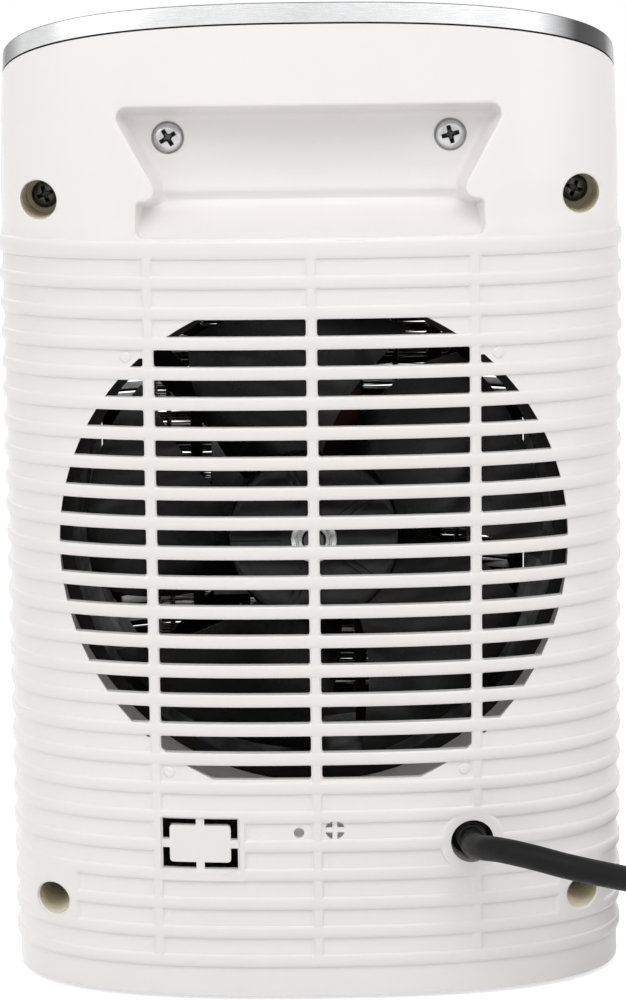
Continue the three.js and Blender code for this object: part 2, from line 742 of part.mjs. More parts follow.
// A broad blade whose chord climbs from the front of the hub to its rear as it goes round.
function makeBlade(turn) {
  const sections = BLADE_STATIONS.map((radius, station) => {
    const skew = 0.12 * station;
    const upper = [];
    const lower = [];
    for (let k = 0; k <= BLADE_STEPS; k += 1) {
      const part = k / BLADE_STEPS;
      const angle = turn + skew + BLADE_SWEEP * (part - 0.5);
      const y = THREE.MathUtils.lerp(IMPELLER.frontY + 2, IMPELLER.rearY - 2, part);
      const [x, z] = [radius * Math.cos(angle), radius * Math.sin(angle)];
      upper.push(new THREE.Vector3(x, y + BLADE_THICK / 2, z));
      lower.push(new THREE.Vector3(x, y - BLADE_THICK / 2, z));
    }
    return [...upper, ...lower.reverse()];
  });
  return solid(loft(sections));
}

function makeImpeller() {
  const { frontY, rearY, hubRadius, blades } = IMPELLER;
  let impeller = cut(
    barAlongY(hubRadius, frontY, rearY, 0, 0, 24),
    barAlongY(hubRadius - 2, frontY - 1, rearY - 2.5, 0, 0, 24),
  );
  for (let k = 0; k < blades; k += 1) {
    impeller = joined(impeller, cut(
      makeBlade(FIRST_BLADE + (2 * Math.PI * k) / blades),
      barAlongY(hubRadius - 1, frontY - 1, rearY + 1, 0, 0, 28),
    ));
  }
  const boss = barAlongY(7, frontY + 3, rearY - 1, 0, 0, 14);
  return cut(joined(impeller, boss), barAlongY(SHAFT_RADIUS + GAP, 0, 50, 0, 0, 12));
}

add(fan, 'fan_impeller', blackPlastic(), makeImpeller());
add(fan, 'fan_nut', steel(), tubeAlongY(6.75, SHAFT_RADIUS + GAP, 31.3, 34.6, 0, 0, 16));

// ---------------------------------------------------------------- heater

const HEATER = { frontY: -44, rearY: DUCT_FRONT_Y - GAP, radius: DUCT_RADIUS };
const BOARD = { thick: 1, frontY: -42, rearY: -29.5, outerX: 44, innerX: 15 };
const WIRE_RADIUS = 0.45;
const WIRE_LOOPS = 16;
const WIRE_PITCH = 6.1;
const WIRE_CORNER = 0.8;

function makeHeaterFrame() {
  const { frontY, rearY, radius } = HEATER;
  return tubeAlongY(radius + DUCT_WALL, radius, frontY, rearY, 0, 0, 28);
}

function makeBoard(x) {
  const half = Math.sqrt((HEATER.radius - 0.8) ** 2 - (Math.abs(x) + BOARD.thick) ** 2);
  return block(x - BOARD.thick / 2, x + BOARD.thick / 2, BOARD.frontY, BOARD.rearY, -half, half);
}

// The wire's centreline: a climbing loop round the boards with rounded corners.
function wireRoute() {
  const clear = WIRE_RADIUS + 0.4;
  const halfX = BOARD.outerX + BOARD.thick / 2 + clear;
  const halfY = (BOARD.rearY - BOARD.frontY) / 2 + clear;
  const middleY = (BOARD.rearY + BOARD.frontY) / 2;
  const corners = [[1, 1, 0], [-1, 1, 90], [-1, -1, 180], [1, -1, 270]];
  const flat = corners.flatMap(([sx, sy, start]) => [0, 90].map((degrees) => {
    const angle = THREE.MathUtils.degToRad(start + degrees);
    return [
      sx * (halfX - WIRE_CORNER) + WIRE_CORNER * Math.cos(angle),
      middleY + sy * (halfY - WIRE_CORNER) + WIRE_CORNER * Math.sin(angle),
    ];
  }));
  const lengths = flat.map(([x, y], k) => {
    const [nextX, nextY] = flat[(k + 1) % flat.length];
    return Math.hypot(nextX - x, nextY - y);
  });
  const round = lengths.reduce((sum, length) => sum + length, 0);
  const points = [];
  let travelled = 0;
  for (let k = 0; k < WIRE_LOOPS * flat.length; k += 1) {
    const [x, y] = flat[k % flat.length];
    const z = WIRE_PITCH * (travelled / round - WIRE_LOOPS / 2);
    points.push(new THREE.Vector3(x, y, z));
    travelled += lengths[k % flat.length];
  }
  return points;
}

add(fan, 'heater_frame', steel(), makeHeaterFrame());
[-BOARD.outerX, -BOARD.innerX, BOARD.innerX, BOARD.outerX].forEach((x, k) => {
  add(fan, `mica_board_${k + 1}`, mica(), makeBoard(x));
});
const heaterWire = wireRoute();
add(fan, 'heater_wire', nichrome(), sweep(heaterWire, WIRE_RADIUS, 5));
add(fan, 'thermal_cutout', ceramic(),
  barAlongZ(8, HEATER.radius + DUCT_WALL + GAP, HEATER.radius + DUCT_WALL + 7.5, 0, -34));
add(fan, 'thermal_fuse', steel(), barAlongZ(1.8, 52, 62, BOARD.innerX + 2.6, -36, 10));

// ---------------------------------------------------------------- terminal block

const TERMINAL_Z = FOOT_HEIGHT + BASE_THICK + GAP;

function makeTerminalBlock() {
  const base = block(-15, 15, -7, 7, 0, 13);
  const wells = [-10, 0, 10].map((x) => block(x - 3, x + 3, -4, 4, 7, 14));
  return cut(base, ...wells);
}

add(body, 'terminal_block', ceramic(), makeTerminalBlock(), [-22, 12, TERMINAL_Z]);

// ---------------------------------------------------------------- mains lead

// The coil lies beside the heater on the lead's side. Its upper layer spirals in, it drops a
// layer in the half turn where the spiral reverses, and the lower layer spirals out again.
const COIL = { x: -165.5, y: -9, turns: 5.5, pitch: 7.8, innerRadius: 29, steps: 24 };
const COIL_LOW_Z = CORD_RADIUS + 1;
const COIL_HIGH_Z = COIL_LOW_Z + COIL.pitch;
const CORD_STUB = 2 * CORD_RADIUS;

function smooth(part) {
  const t = THREE.MathUtils.clamp(part, 0, 1);
  return t * t * (3 - 2 * t);
}

function coilPoint(turn) {
  const reverse = COIL.turns / 2;
  const radius = COIL.innerRadius + COIL.pitch * Math.abs(turn - reverse);
  const drop = smooth((turn - reverse) / 0.5 + 0.5);
  const angle = -2 * Math.PI * turn;
  return new THREE.Vector3(
    COIL.x + radius * Math.cos(angle),
    COIL.y + radius * Math.sin(angle),
    THREE.MathUtils.lerp(COIL_HIGH_Z, COIL_LOW_Z, drop),
  );
}

function coilRoute() {
  const start = coilPoint(0);
  const end = coilPoint(COIL.turns);
  const count = Math.round(COIL.turns * COIL.steps);
  const points = [start.clone().setY(start.y + CORD_STUB)];
  for (let k = 0; k <= count; k += 1) points.push(coilPoint((COIL.turns * k) / count));
  points.push(end.clone().setY(end.y + CORD_STUB));
  return points;
}

// The least distance between two stretches of a tube's centreline that are further apart
// along it than the tube's own bend, less the tube's width.
function leastGap(points, radius, apart) {
  let least = Infinity;
  for (let i = 0; i < points.length; i += 1) {
    for (let j = i + apart; j < points.length - 1; j += 1) {
      const line = new THREE.Line3(points[j], points[j + 1]);
      const near = line.closestPointToPoint(points[i], true, new THREE.Vector3());
      least = Math.min(least, near.distanceTo(points[i]) - 2 * radius);
    }
  }
  return least;
}

const coil = coilRoute();
console.log(`cord coil, least gap to itself ${leastGap(coil, CORD_RADIUS, 12).toFixed(2)} mm`);
console.log(`heater wire, least gap to itself ${leastGap(heaterWire, WIRE_RADIUS, 6).toFixed(2)} mm`);

// The lead leaves the gland, bends round past the rear shell and comes down to the coil.
const GLAND_END_Y = REAR_DEPTH + PLAN_Y - 5;
const coilStart = coil[0];
const coilEnd = coil[coil.length - 1];
const LEAD_ROUTE = [
  [CORD_EXIT_X, GLAND_END_Y + GAP, CORD_EXIT_Z],
  [CORD_EXIT_X, GLAND_END_Y + 7, CORD_EXIT_Z + 0.2],
  [-46.3, GLAND_END_Y + 16.5, 48.1],
  [-51.5, GLAND_END_Y + 25, 49.6],
  [-59.7, GLAND_END_Y + 30.3, 49],
  [-68.5, GLAND_END_Y + 32, 46.9],
  [-77.4, GLAND_END_Y + 31.1, 44.5],
  [-86.6, GLAND_END_Y + 27.8, 41.6],
  [-95.6, GLAND_END_Y + 21.5, 37.5],
  [-103.8, GLAND_END_Y + 12.1, 31.5],
  [-110, GLAND_END_Y - 0.5, 24.7],
  [-113.8, GLAND_END_Y - 14.8, 18.5],
  [coilStart.x, GLAND_END_Y - 31, 14],
  [coilStart.x, coilStart.y + 12, COIL_HIGH_Z],
  [coilStart.x, coilStart.y + GAP, COIL_HIGH_Z],
];

// The far end leaves the coil's lower layer, turns behind the coil and rises into the plug.
const PLUG = { x: -176, y: 63, z: 13.6, length: 37, halfWidth: 16, halfHeight: 13 };
const TAIL_ROUTE = [
  [coilEnd.x, coilEnd.y + GAP, COIL_LOW_Z],
  [coilEnd.x, coilEnd.y + 12, COIL_LOW_Z],
  [coilEnd.x + 0.8, coilEnd.y + 24, 5.3],
  [coilEnd.x + 5.2, coilEnd.y + 38, 7.6],
  [coilEnd.x + 13.6, coilEnd.y + 50.5, 10.6],
  [coilEnd.x + 25, coilEnd.y + 59.5, 12.9],
  [PLUG.x - 10, PLUG.y - 0.4, PLUG.z],
  [PLUG.x - GAP, PLUG.y, PLUG.z],
];

function tubeAlong(route, steps) {
  const curve = new THREE.CatmullRomCurve3(route.map((p) => new THREE.Vector3(...p)), false,
    'centripetal');
  const circle = new THREE.Shape();
  for (let k = 0; k < CORD_SIDES; k += 1) {
    const angle = (2 * Math.PI * (k + 0.5)) / CORD_SIDES;
    const [x, y] = [CORD_RADIUS * Math.cos(angle), CORD_RADIUS * Math.sin(angle)];
    if (k === 0) circle.moveTo(x, y);
    else circle.lineTo(x, y);
  }
  circle.closePath();
  const tube = new THREE.ExtrudeGeometry(circle, { steps, extrudePath: curve });
  return { length: curve.getLength(), shape: solid(tube) };
}

const lead = tubeAlong(LEAD_ROUTE, 16);
const tail = tubeAlong(TAIL_ROUTE, 9);
const coilLength = coil.slice(1).reduce((sum, p, k) => sum + p.distanceTo(coil[k]), 0);
console.log(`mains lead ${(lead.length + coilLength + tail.length).toFixed(0)} mm long`);

// A tapered strain relief whose wide inner end sits behind the wall.
function makeGland() {
  const inner = GLAND_END_Y - 27;
  const profile = [
    [0, inner], [7.6, inner], [7.6, inner + 4], [5.8, inner + 5], [5.6, inner + 12],
    [4.1, GLAND_END_Y], [0, GLAND_END_Y],
  ];
  const gland = new THREE.LatheGeometry(profile.map(([r, y]) => new THREE.Vector2(r, y)), 16);
  return solid(gland);
}

add(group, 'cord_gland', rubber(), makeGland(), [CORD_EXIT_X, 0, CORD_EXIT_Z]);
add(group, 'mains_cord', rubber(), lead.shape);
add(group, 'cord_coil', rubber(), sweep(coil, CORD_RADIUS, 6));
add(group, 'cord_tail', rubber(), tail.shape);

// A strap round the coil's bundle, on the side away from both ends.
function makeCoilTie() {
  const [inner, outer] = [COIL.innerRadius - CORD_RADIUS - 0.6, 53.2];
  const [low, high] = [0.6, COIL_HIGH_Z + CORD_RADIUS + 0.5];
  return cut(
    block(inner - 0.6, outer + 0.6, -5, 5, 0, high + 0.6),
    block(inner, outer, -6, 6, low, high),
  );
}

const tie = add(group, 'coil_tie', rubber(), makeCoilTie(), [COIL.x, COIL.y, 0]);
tie.rotation.z = -Math.PI / 2;

// A two-pin plug with a contoured body that lies on its flat side.
function makePlugBody() {
  const { length, halfWidth, halfHeight } = PLUG;
  const stations = [
    [0, 4.6, 4.6], [12, 5.6, 5.2], [18, 9, 8.6], [24, 12.5, 11.4],
    [length - 4, halfWidth, halfHeight], [length, halfWidth - 1, halfHeight - 1],
  ];
  const rings = stations.map(([x, width, height]) => Array.from({ length: 16 }, (_, k) => {
    const angle = (2 * Math.PI * k) / 16;
    return new THREE.Vector3(
      x, width * power(Math.cos(angle), 0.75), height * power(Math.sin(angle), 0.75),
    );
  }));
  const sockets = SIDES.map(([, side]) => {
    const socket = new THREE.CylinderGeometry(2.4 + GAP, 2.4 + GAP, 10, 12);
    socket.rotateZ(Math.PI / 2);
    socket.translate(length, side * 9.5, 0);
    return solid(socket);
  });
  return cut(solid(loft(rings)), ...sockets);
}

function makePlugPin() {
  const pin = new THREE.CylinderGeometry(2.4, 2.4, 23, 12);
  pin.rotateZ(Math.PI / 2);
  return solid(pin);
}

add(group, 'plug_body', rubber(), makePlugBody(), [PLUG.x, PLUG.y, PLUG.z]);
for (const [sideName, side] of SIDES) {
  add(group, `plug_pin_${sideName}`, steel(), makePlugPin(),
    [PLUG.x + PLUG.length - 4.5 + 11.5, PLUG.y + side * 9.5, PLUG.z]);
}

export default group;
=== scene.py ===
import bisect
import functools
from math import asin, atan, copysign, cos, hypot, pi, radians, sin, sqrt, tan

import bmesh
import bpy
from mathutils import Matrix, Vector


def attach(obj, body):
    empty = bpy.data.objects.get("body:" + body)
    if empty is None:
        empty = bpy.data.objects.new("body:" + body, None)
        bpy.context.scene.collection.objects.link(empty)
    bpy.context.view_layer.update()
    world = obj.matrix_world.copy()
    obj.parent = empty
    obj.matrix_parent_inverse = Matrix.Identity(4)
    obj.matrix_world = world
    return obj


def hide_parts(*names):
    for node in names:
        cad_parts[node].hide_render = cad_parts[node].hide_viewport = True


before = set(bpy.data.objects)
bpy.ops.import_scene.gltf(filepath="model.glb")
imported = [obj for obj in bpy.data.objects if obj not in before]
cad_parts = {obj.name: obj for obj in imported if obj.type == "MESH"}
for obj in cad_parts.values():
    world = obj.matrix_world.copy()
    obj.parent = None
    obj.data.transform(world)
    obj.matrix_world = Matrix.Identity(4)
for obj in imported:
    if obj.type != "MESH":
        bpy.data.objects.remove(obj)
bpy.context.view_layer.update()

# Everything is written in millimetres and scaled to metres when a piece is made.
MM = 0.001


def new_object(name, data):
    made = bpy.data.objects.new(name, data)
    bpy.context.scene.collection.objects.link(made)
    return made


def evaluated_mesh(made):
    depsgraph = bpy.context.evaluated_depsgraph_get()
    return bpy.data.meshes.new_from_object(made.evaluated_get(depsgraph))


# -------- camera and stage

CAMERA_PLACE = (0.00012, 0.9564, 0.2909)
CAMERA_PITCH = 0.15966
CAMERA_ROLL = -0.01223
FOCAL_PIXELS = 3225.05
LONG_SIDE_PIXELS = 1000
SENSOR_WIDTH = 36


def make_camera():
    data = bpy.data.cameras.new("view")
    data.sensor_width = SENSOR_WIDTH
    data.lens = FOCAL_PIXELS / LONG_SIDE_PIXELS * SENSOR_WIDTH
    camera = new_object("view", data)
    forward = Vector((0, -cos(CAMERA_PITCH), -sin(CAMERA_PITCH)))
    up = Vector((0, -sin(CAMERA_PITCH), cos(CAMERA_PITCH)))
    right = Vector((-1, 0, 0))
    rolled_right = right * cos(CAMERA_ROLL) + up * sin(CAMERA_ROLL)
    rolled_up = up * cos(CAMERA_ROLL) - right * sin(CAMERA_ROLL)
    turn = Matrix((rolled_right, rolled_up, -forward)).transposed().to_4x4()
    turn.translation = Vector(CAMERA_PLACE)
    camera.matrix_world = turn
    bpy.context.scene.camera = camera


make_camera()
bpy.context.scene.view_settings.view_transform = "Standard"

# -------- driving sizes

HALF_WIDTH = 90
REAR_DEPTH = 49.6
FRONT_DEPTH = 70.4
POWER = 2.55  # exponent of the oval plan
WALL = 2.2
GAP = 0.3
SEAM_Y = -6
PLAN_Y = 9.9
FOOT = 1.5
FOLD_Z = 235.5  # above it the walls lean in
RING_REAR_Z = 280.1
RING_HEIGHT = 5.9
RING_SLOPE = 0.36
RING_LEAN = 1.9
RING_TILT = atan(RING_SLOPE)
FAN_Z = 132.3
RIBS = [12 + 8.52 * k for k in range(24)]
RIB_THICK = 3.6
BARS = [-46, 0, 46]
BAR_WIDTH = 3.1
INTAKE_RADIUS = 72.9
COLLAR_RADIUS = 73.5
INTAKE_LOW = 65.7
INTAKE_HIGH = 197.9
CORD_X = -44.5
CORD_Z = 46.2
CORD_RADIUS = 3.6
WELLS = [(76.9, 230.6, 5.5), (77.3, 26.6, 4.7)]  # x, z, radius: top and bottom
WELL_FLOOR_Y = 4.0
WINDOW = (33.7, 46.6, 10.8, 7.4, 2.0)  # x, z, half width, half height, slot
VENTS = [(5.3, 49.9, 1.5), (-5.0, 50.7, 2.8)]  # x, z, radius: pinhole and cross
PIPS = [(52.5, 187.0), (-52.5, 187.0), (42.3, 67.5), (-42.3, 67.5)]
RECESS_SCREW = (39.7, 247.9)
RECESS_BACK = 35.6
OUTSIDE_Y = 70  # behind every part of the rear wall
SIDES = (-1, 1)


def power(value, exponent):
    return copysign(abs(value) ** exponent, value)


def clamp(value, low=0.0, high=1.0):
    return max(low, min(high, value))


def smooth(value):
    t = clamp(value)
    return t * t * (3 - 2 * t)


def lean_at(z):
    """How far the wall has leaned in at a height, with a soft fold."""
    soft = 1.5
    above = z - FOLD_Z
    if above < -soft:
        return 0.0
    if above < soft:
        above = (above + soft) ** 2 / (4 * soft)
    return RING_LEAN * above / (RING_REAR_Z - FOLD_Z)


def depth_at(y):
    return REAR_DEPTH if y >= 0 else FRONT_DEPTH


def plan_point(angle, inset=0.0):
    x = (HALF_WIDTH - inset) * power(cos(angle), 2 / POWER)
    y = (depth_at(sin(angle)) - inset) * power(sin(angle), 2 / POWER)
    return x, y


def ring_z(rise, y):
    return RING_REAR_Z + rise + RING_SLOPE * (y - REAR_DEPTH)


def rear_y(x, z=0.0, inset=0.0):
    """Where the smooth rear wall stands at x, from the plan's centre."""
    inset += lean_at(z)
    part = clamp(abs(x) / (HALF_WIDTH - inset))
    return (REAR_DEPTH - inset) * (1 - part ** POWER) ** (1 / POWER)


# -------- shapes in millimetres


def turns(sides, start=0.0):
    """The angles of the corners of a round outline."""
    return [2 * pi * (k + start) / sides for k in range(sides)]


def strips(rings, around=False):
    """Faces from ring to ring, each with as many points; around joins the last to the first."""
    count, rows = len(rings[0]), len(rings)
    faces = []
    for i in range(rows if around else rows - 1):
        n = (i + 1) % rows
        for j in range(count):
            k = (j + 1) % count
            faces.append((i * count + j, i * count + k, n * count + k, n * count + j))
    return [p for ring in rings for p in ring], faces


def loft(rings):
    """A solid through rings of points, with a cap at each end."""
    points, faces = strips(rings)
    count = len(rings[0])
    faces += [tuple(reversed(range(count))), tuple(range(len(points) - count, len(points)))]
    return points, faces


def circle(x, z, radius, sides):
    return [(x + radius * cos(a), z + radius * sin(a)) for a in turns(sides)]


def round_rings(profile, sides, wobble=None):
    """A ring of points round Z for each (radius, height) pair."""
    rings = []
    for radius, height in profile:
        ring = []
        for angle in turns(sides):
            r = wobble(radius, height, angle) if wobble else radius
            ring.append((r * cos(angle), r * sin(angle), height))
        rings.append(ring)
    return rings


def lathe(profile, sides=48, wobble=None):
    """A profile of (radius, height) pairs turned round Z; it starts and ends on the axis."""
    points, faces = strips(round_rings(profile[1:-1], sides, wobble))
    count = len(points)
    for k in range(sides):
        n = (k + 1) % sides
        faces += [(count, n, k), (count - sides + k, count - sides + n, count + 1)]
    return points + [(0.0, 0.0, profile[end][1]) for end in (0, -1)], faces


def tube_ring(profile, sides=48):
    """A closed profile of (radius, height) pairs turned round Z, as a ring."""
    return strips(round_rings(profile, sides), around=True)


def box(x0, x1, y0, y1, z0, z1):
    points = [(x, y, z) for z in (z0, z1) for x, y in ((x0, y0), (x1, y0), (x1, y1), (x0, y1))]
    faces = [(3, 2, 1, 0), (4, 5, 6, 7), (0, 1, 5, 4), (1, 2, 6, 5), (2, 3, 7, 6), (3, 0, 4, 7)]
    return points, faces


def prism(outline, y0, y1):
    """An outline of (x, z) points made thick along Y."""
    return loft([[(x, y0, z) for x, z in outline], [(x, y1, z) for x, z in outline]])


def moved(shape, matrix):
    points, faces = shape
    return [tuple(matrix @ Vector(p)) for p in points], faces


def shifted(shape, x=0.0, y=0.0, z=0.0):
    return moved(shape, Matrix.Translation((x, y, z)))


def merged(shapes):
    points, faces = [], []
    for more, polygons in shapes:
        start = len(points)
        points += more
        faces += [tuple(i + start for i in face) for face in polygons]
    return points, faces


ALONG_Y = Matrix.Rotation(-pi / 2, 4, "X")  # turns +Z to +Y
ALONG_X = Matrix.Rotation(pi / 2, 4, "Y")  # turns +Z to +X


def rod(radius, low, high, sides, end_radius=None):
    """A rod along Z, or a cone where it ends in another radius."""
    end = radius if end_radius is None else end_radius
    return lathe([(0, low), (radius, low), (end, high), (0, high)], sides)


def bar_y(radius, y0, y1, x=0.0, z=0.0, sides=48, end_radius=None):
    return shifted(moved(rod(radius, y0, y1, sides, end_radius), ALONG_Y), x=x, z=z)


def rounded(corners, steps=5):
    """An outline of (x, z, radius) corners with each corner rounded."""
    outline = []
    count = len(corners)
    for i, (x, z, radius) in enumerate(corners):
        here = Vector((x, z))
        before = Vector(corners[i - 1][:2]) - here
        after = Vector(corners[(i + 1) % count][:2]) - here
        a, b = before.normalized(), after.normalized()
        half = a.angle(b) / 2
        reach = radius / tan(half)
        centre = here + (a + b).normalized() * radius / sin(half)
        start, end = here + a * reach - centre, here + b * reach - centre
        sweep = start.angle_signed(end)
        for k in range(steps + 1):
            turn = Matrix.Rotation(-sweep * k / steps, 2)
            p = centre + turn @ start
            outline.append((p.x, p.y))
    return outline


def rounded_box(x0, x1, z0, z1, radius, steps=5):
    return rounded([(x0, z0, radius), (x1, z0, radius), (x1, z1, radius), (x0, z1, radius)], steps)


def sweep_tube(points, radii, sides):
    """A tube through the points, with a radius for each."""
    path = [Vector(p) for p in points]
    last = len(path) - 1
    along = (path[1] - path[0]).normalized()
    side = along.cross(Vector((0.01, 0.02, 1))).normalized()
    rings = []
    for i, (place, radius) in enumerate(zip(path, radii)):
        now = (path[min(i + 1, last)] - path[max(i - 1, 0)]).normalized()
        side = along.rotation_difference(now) @ side
        along = now
        other = along.cross(side)
        rings.append([tuple(place + radius * (cos(a) * side + sin(a) * other))
                      for a in turns(sides)])
    return loft(rings)


# -------- pieces

IN_BODY = Matrix.Translation((0, PLAN_Y, 0))
IN_FAN = Matrix.Translation((0, PLAN_Y, FAN_Z))


def as_object(name, shape):
    points, faces = shape
    mesh = bpy.data.meshes.new(name)
    mesh.from_pydata(points, [], faces)
    work = bmesh.new()
    work.from_mesh(mesh)
    bmesh.ops.recalc_face_normals(work, faces=work.faces)
    work.to_mesh(mesh)
    work.free()
    return new_object(name, mesh)


def boolean(made, shapes, operation):
    """Joins, cuts or intersects a piece with closed shapes, one after another."""
    for shape in shapes:
        tool = shape if isinstance(shape, bpy.types.Object) else as_object("tool", shape)
        modifier = made.modifiers.new("shape", "BOOLEAN")
        modifier.solver = "MANIFOLD"
        modifier.operation = operation
        modifier.object = tool
        mesh = evaluated_mesh(made)
        if len(mesh.polygons) == 0:
            raise RuntimeError(f"{made.name}: {operation} left nothing")
        made.modifiers.clear()
        made.data = mesh
        bpy.data.objects.remove(tool)
    return made


def finish_piece(made, material, slot, replaces=(), body="casing", sharp=32, matrix=IN_BODY):
    """Scales a piece to metres, shades it, and hands it to its body."""
    mesh = made.data
    mesh.transform(Matrix.Scale(MM, 4) @ matrix)
    mesh.name = made.name
    mesh.shade_smooth()
    mesh.set_sharp_from_angle(angle=radians(sharp))
    mesh.materials.clear()
    mesh.materials.append(material)
    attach(made, body)
    if replaces:
        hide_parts(*replaces)
    return made


def piece(name, shape, *finish, **more):
    return finish_piece(as_object(name, shape), *finish, **more)


def paint(made, material, chosen):
    """Gives one more material to the faces that are chosen."""
    mesh = made.data
    mesh.materials.append(material)
    for face in mesh.polygons:
        if chosen(face):
            face.material_index = len(mesh.materials) - 1


# -------- materials


def linear(r, g, b):
    def one(value):
        value /= 255
        return value / 12.92 if value <= 0.04045 else ((value + 0.055) / 1.055) ** 2.4

    return one(r), one(g), one(b), 1.0


def scaled(colour, factor):
    return tuple(clamp(c * factor) for c in colour[:3]) + (1.0,)


class Nodes:
    """A node tree that is built up a node at a time."""

    def __init__(self, owner):
        owner.use_nodes = True
        self.tree = owner.node_tree

    def feed(self, node, sockets):
        """Each socket takes a value, or is linked to another node's output."""
        for key, value in sockets.items():
            if isinstance(value, bpy.types.NodeSocket):
                self.tree.links.new(value, node.inputs[key])
            else:
                node.inputs[key].default_value = value

    def add(self, kind, sockets=None, **settings):
        node = self.tree.nodes.new(f"ShaderNode{kind}")
        for key, value in settings.items():
            setattr(node, key, value)
        self.feed(node, sockets or {})
        return node

    def reckon(self, operation, first, second):
        return self.add("Math", {0: first, 1: second}, operation=operation).outputs[0]

    def spread(self, source, low, high, new_low, new_high):
        return self.add("MapRange", {
            "Value": source, "From Min": low, "From Max": high,
            "To Min": new_low, "To Max": new_high,
        }).outputs["Result"]

    def mix(self, amount, first, second, blend="MIX"):
        return self.add("Mix", {0: amount, 6: first, 7: second},
                        data_type="RGBA", blend_type=blend).outputs[2]


class Finish(Nodes):
    """A material with a Principled shader."""

    def __init__(self, name, roughness, metallic=0.0):
        self.material = bpy.data.materials.new(name)
        super().__init__(self.material)
        self.shader = self.tree.nodes["Principled BSDF"]
        self.feed(self.shader, {"Roughness": roughness, "Metallic": metallic})
        self.place = self.add("TexCoord").outputs["Object"]

    def along(self, axis):
        return self.add("SeparateXYZ", {"Vector": self.place}).outputs[axis]

    def noise(self, scale, detail=3.0, stretch=None):
        place = self.place
        if stretch:
            place = self.add("Mapping", {"Vector": place, "Scale": stretch}).outputs["Vector"]
        return self.add("TexNoise", {
            "Vector": place, "Scale": scale, "Detail": detail, "Roughness": 0.55,
        }).outputs["Fac"]

    def ramp(self, source, stops):
        node = self.add("ValToRGB", {"Fac": source})
        band = node.color_ramp
        while len(band.elements) < len(stops):
            band.elements.new(0.5)
        for element, (place, colour) in zip(band.elements, stops):
            element.position = place
            element.color = colour
        return node.outputs["Color"]

    def bump(self, source, distance, strength=1.0, **under):
        return self.add("Bump", {
            "Height": source, "Distance": distance, "Strength": strength, **under,
        }).outputs["Normal"]

    def shaded(self, colour, rough, normal, sockets=None):
        """The material, with its shader fed."""
        self.feed(self.shader, {"Base Color": colour, "Roughness": rough, "Normal": normal})
        self.feed(self.shader, sockets or {})
        return self.material


def surface(name, colour, rough, metallic=0.0, vary=0.04, scale=45.0, grain=1400.0,
            grain_depth=0.00003, spread=0.07, stretch=None, specular=0.5):
    """A moulded, cast or rolled surface: cloudy colour, uneven gloss and a fine grain."""
    colour = linear(*colour)
    nodes = Finish(name, rough, metallic)
    cloud = nodes.ramp(nodes.noise(scale, 4.0, stretch), [
        (0.32, scaled(colour, 1 - vary)), (0.68, scaled(colour, 1 + vary)),
    ])
    patches = nodes.noise(scale * 3.1, 5.0, stretch)
    gloss = nodes.spread(patches, 0.3, 0.7, rough - spread, rough + spread)
    fine = nodes.bump(nodes.noise(grain, 2.0, stretch), grain_depth)
    return nodes.shaded(cloud, gloss, fine, {"Specular IOR Level": specular})


def shell_material(name, gloss_above=None):
    """White moulded plastic with faint flow marks: glossy, or satin up to a height, where its colour is
    darkened a little as painted shade.
    """
    nodes = Finish(name, 0.3)
    white, warm = linear(245, 242, 241), linear(242, 238, 235)
    cloud = nodes.noise(14.0, 4.0)
    flow = nodes.noise(60.0, 5.0, (1.0, 1.0, 0.35))
    base = nodes.mix(nodes.spread(cloud, 0.35, 0.7, 0.0, 1.0), white, warm)
    base = nodes.mix(nodes.spread(flow, 0.3, 0.7, 0.0, 0.25), base, scaled(warm, 0.97))
    wear = nodes.noise(38.0, 6.0)
    if gloss_above is None:
        gloss = nodes.spread(wear, 0.3, 0.7, 0.10, 0.17)
    else:
        height, blend = nodes.along("Z"), 0.003
        low, high = gloss_above - blend, gloss_above + blend
        satin = nodes.spread(height, low, high, 1.0, 0.0)
        # Painted shade: up to the height the colour is darkened to 0.93 of itself.
        painted_shade = nodes.mix(1.0, base, (0.93, 0.93, 0.93, 1), "MULTIPLY")
        base = nodes.mix(satin, base, painted_shade)
        gloss = nodes.reckon("ADD", nodes.spread(height, low, high, 0.34, 0.14),
                             nodes.spread(wear, 0.3, 0.7, -0.04, 0.05))
    grain = nodes.bump(nodes.noise(900.0, 2.0), 0.00001)
    orange = nodes.bump(nodes.noise(170.0, 2.0), 0.00006, 0.5, Normal=grain)
    return nodes.shaded(base, gloss, orange)


def cloudy_material(name, stops, rough, cloud, patches, gloss, grain, sockets=None):
    """A plain glossy material whose colour wanders between two stops."""
    nodes = Finish(name, rough)
    return nodes.shaded(
        nodes.ramp(nodes.noise(*cloud), stops),
        nodes.spread(nodes.noise(patches), 0.3, 0.7, *gloss),
        nodes.bump(nodes.noise(grain), 0.00001), sockets,
    )


def brushed_ring_material():
    """Satin chrome with fine lines that run round the ring, and broad soft stripes of painted reflection
    along X.
    """
    nodes = Finish("brushed_trim_metal", 0.24, 1.0)
    # The tones along X are painted reflections: bright and dark stripes, darkest near both ends.
    reflection_tones = [
        (0.0, 188), (0.02, 172), (0.03, 84), (0.08, 78), (0.105, 150), (0.15, 222), (0.25, 250),
        (0.36, 238), (0.505, 226), (0.62, 235), (0.73, 231), (0.80, 236), (0.88, 226),
        (0.95, 221), (0.972, 150), (0.983, 92), (0.989, 190), (1.0, 200),
    ]
    half = HALF_WIDTH * MM
    painted_reflection = nodes.ramp(nodes.spread(nodes.along("X"), -half, half, 0.0, 1.0), [
        (place, linear(tone, tone, tone + 1)) for place, tone in reflection_tones
    ])
    lines = nodes.noise(1.0, 4.0, (260.0, 260.0, 5200.0))
    streaks = nodes.spread(lines, 0.35, 0.65, 0.0, 0.12)
    wear = nodes.noise(1.0, 3.0, (160.0, 160.0, 3800.0))
    return nodes.shaded(
        nodes.mix(streaks, painted_reflection, linear(96, 96, 98)),
        nodes.spread(wear, 0.3, 0.7, 0.2, 0.34), nodes.bump(lines, 0.00002),
    )
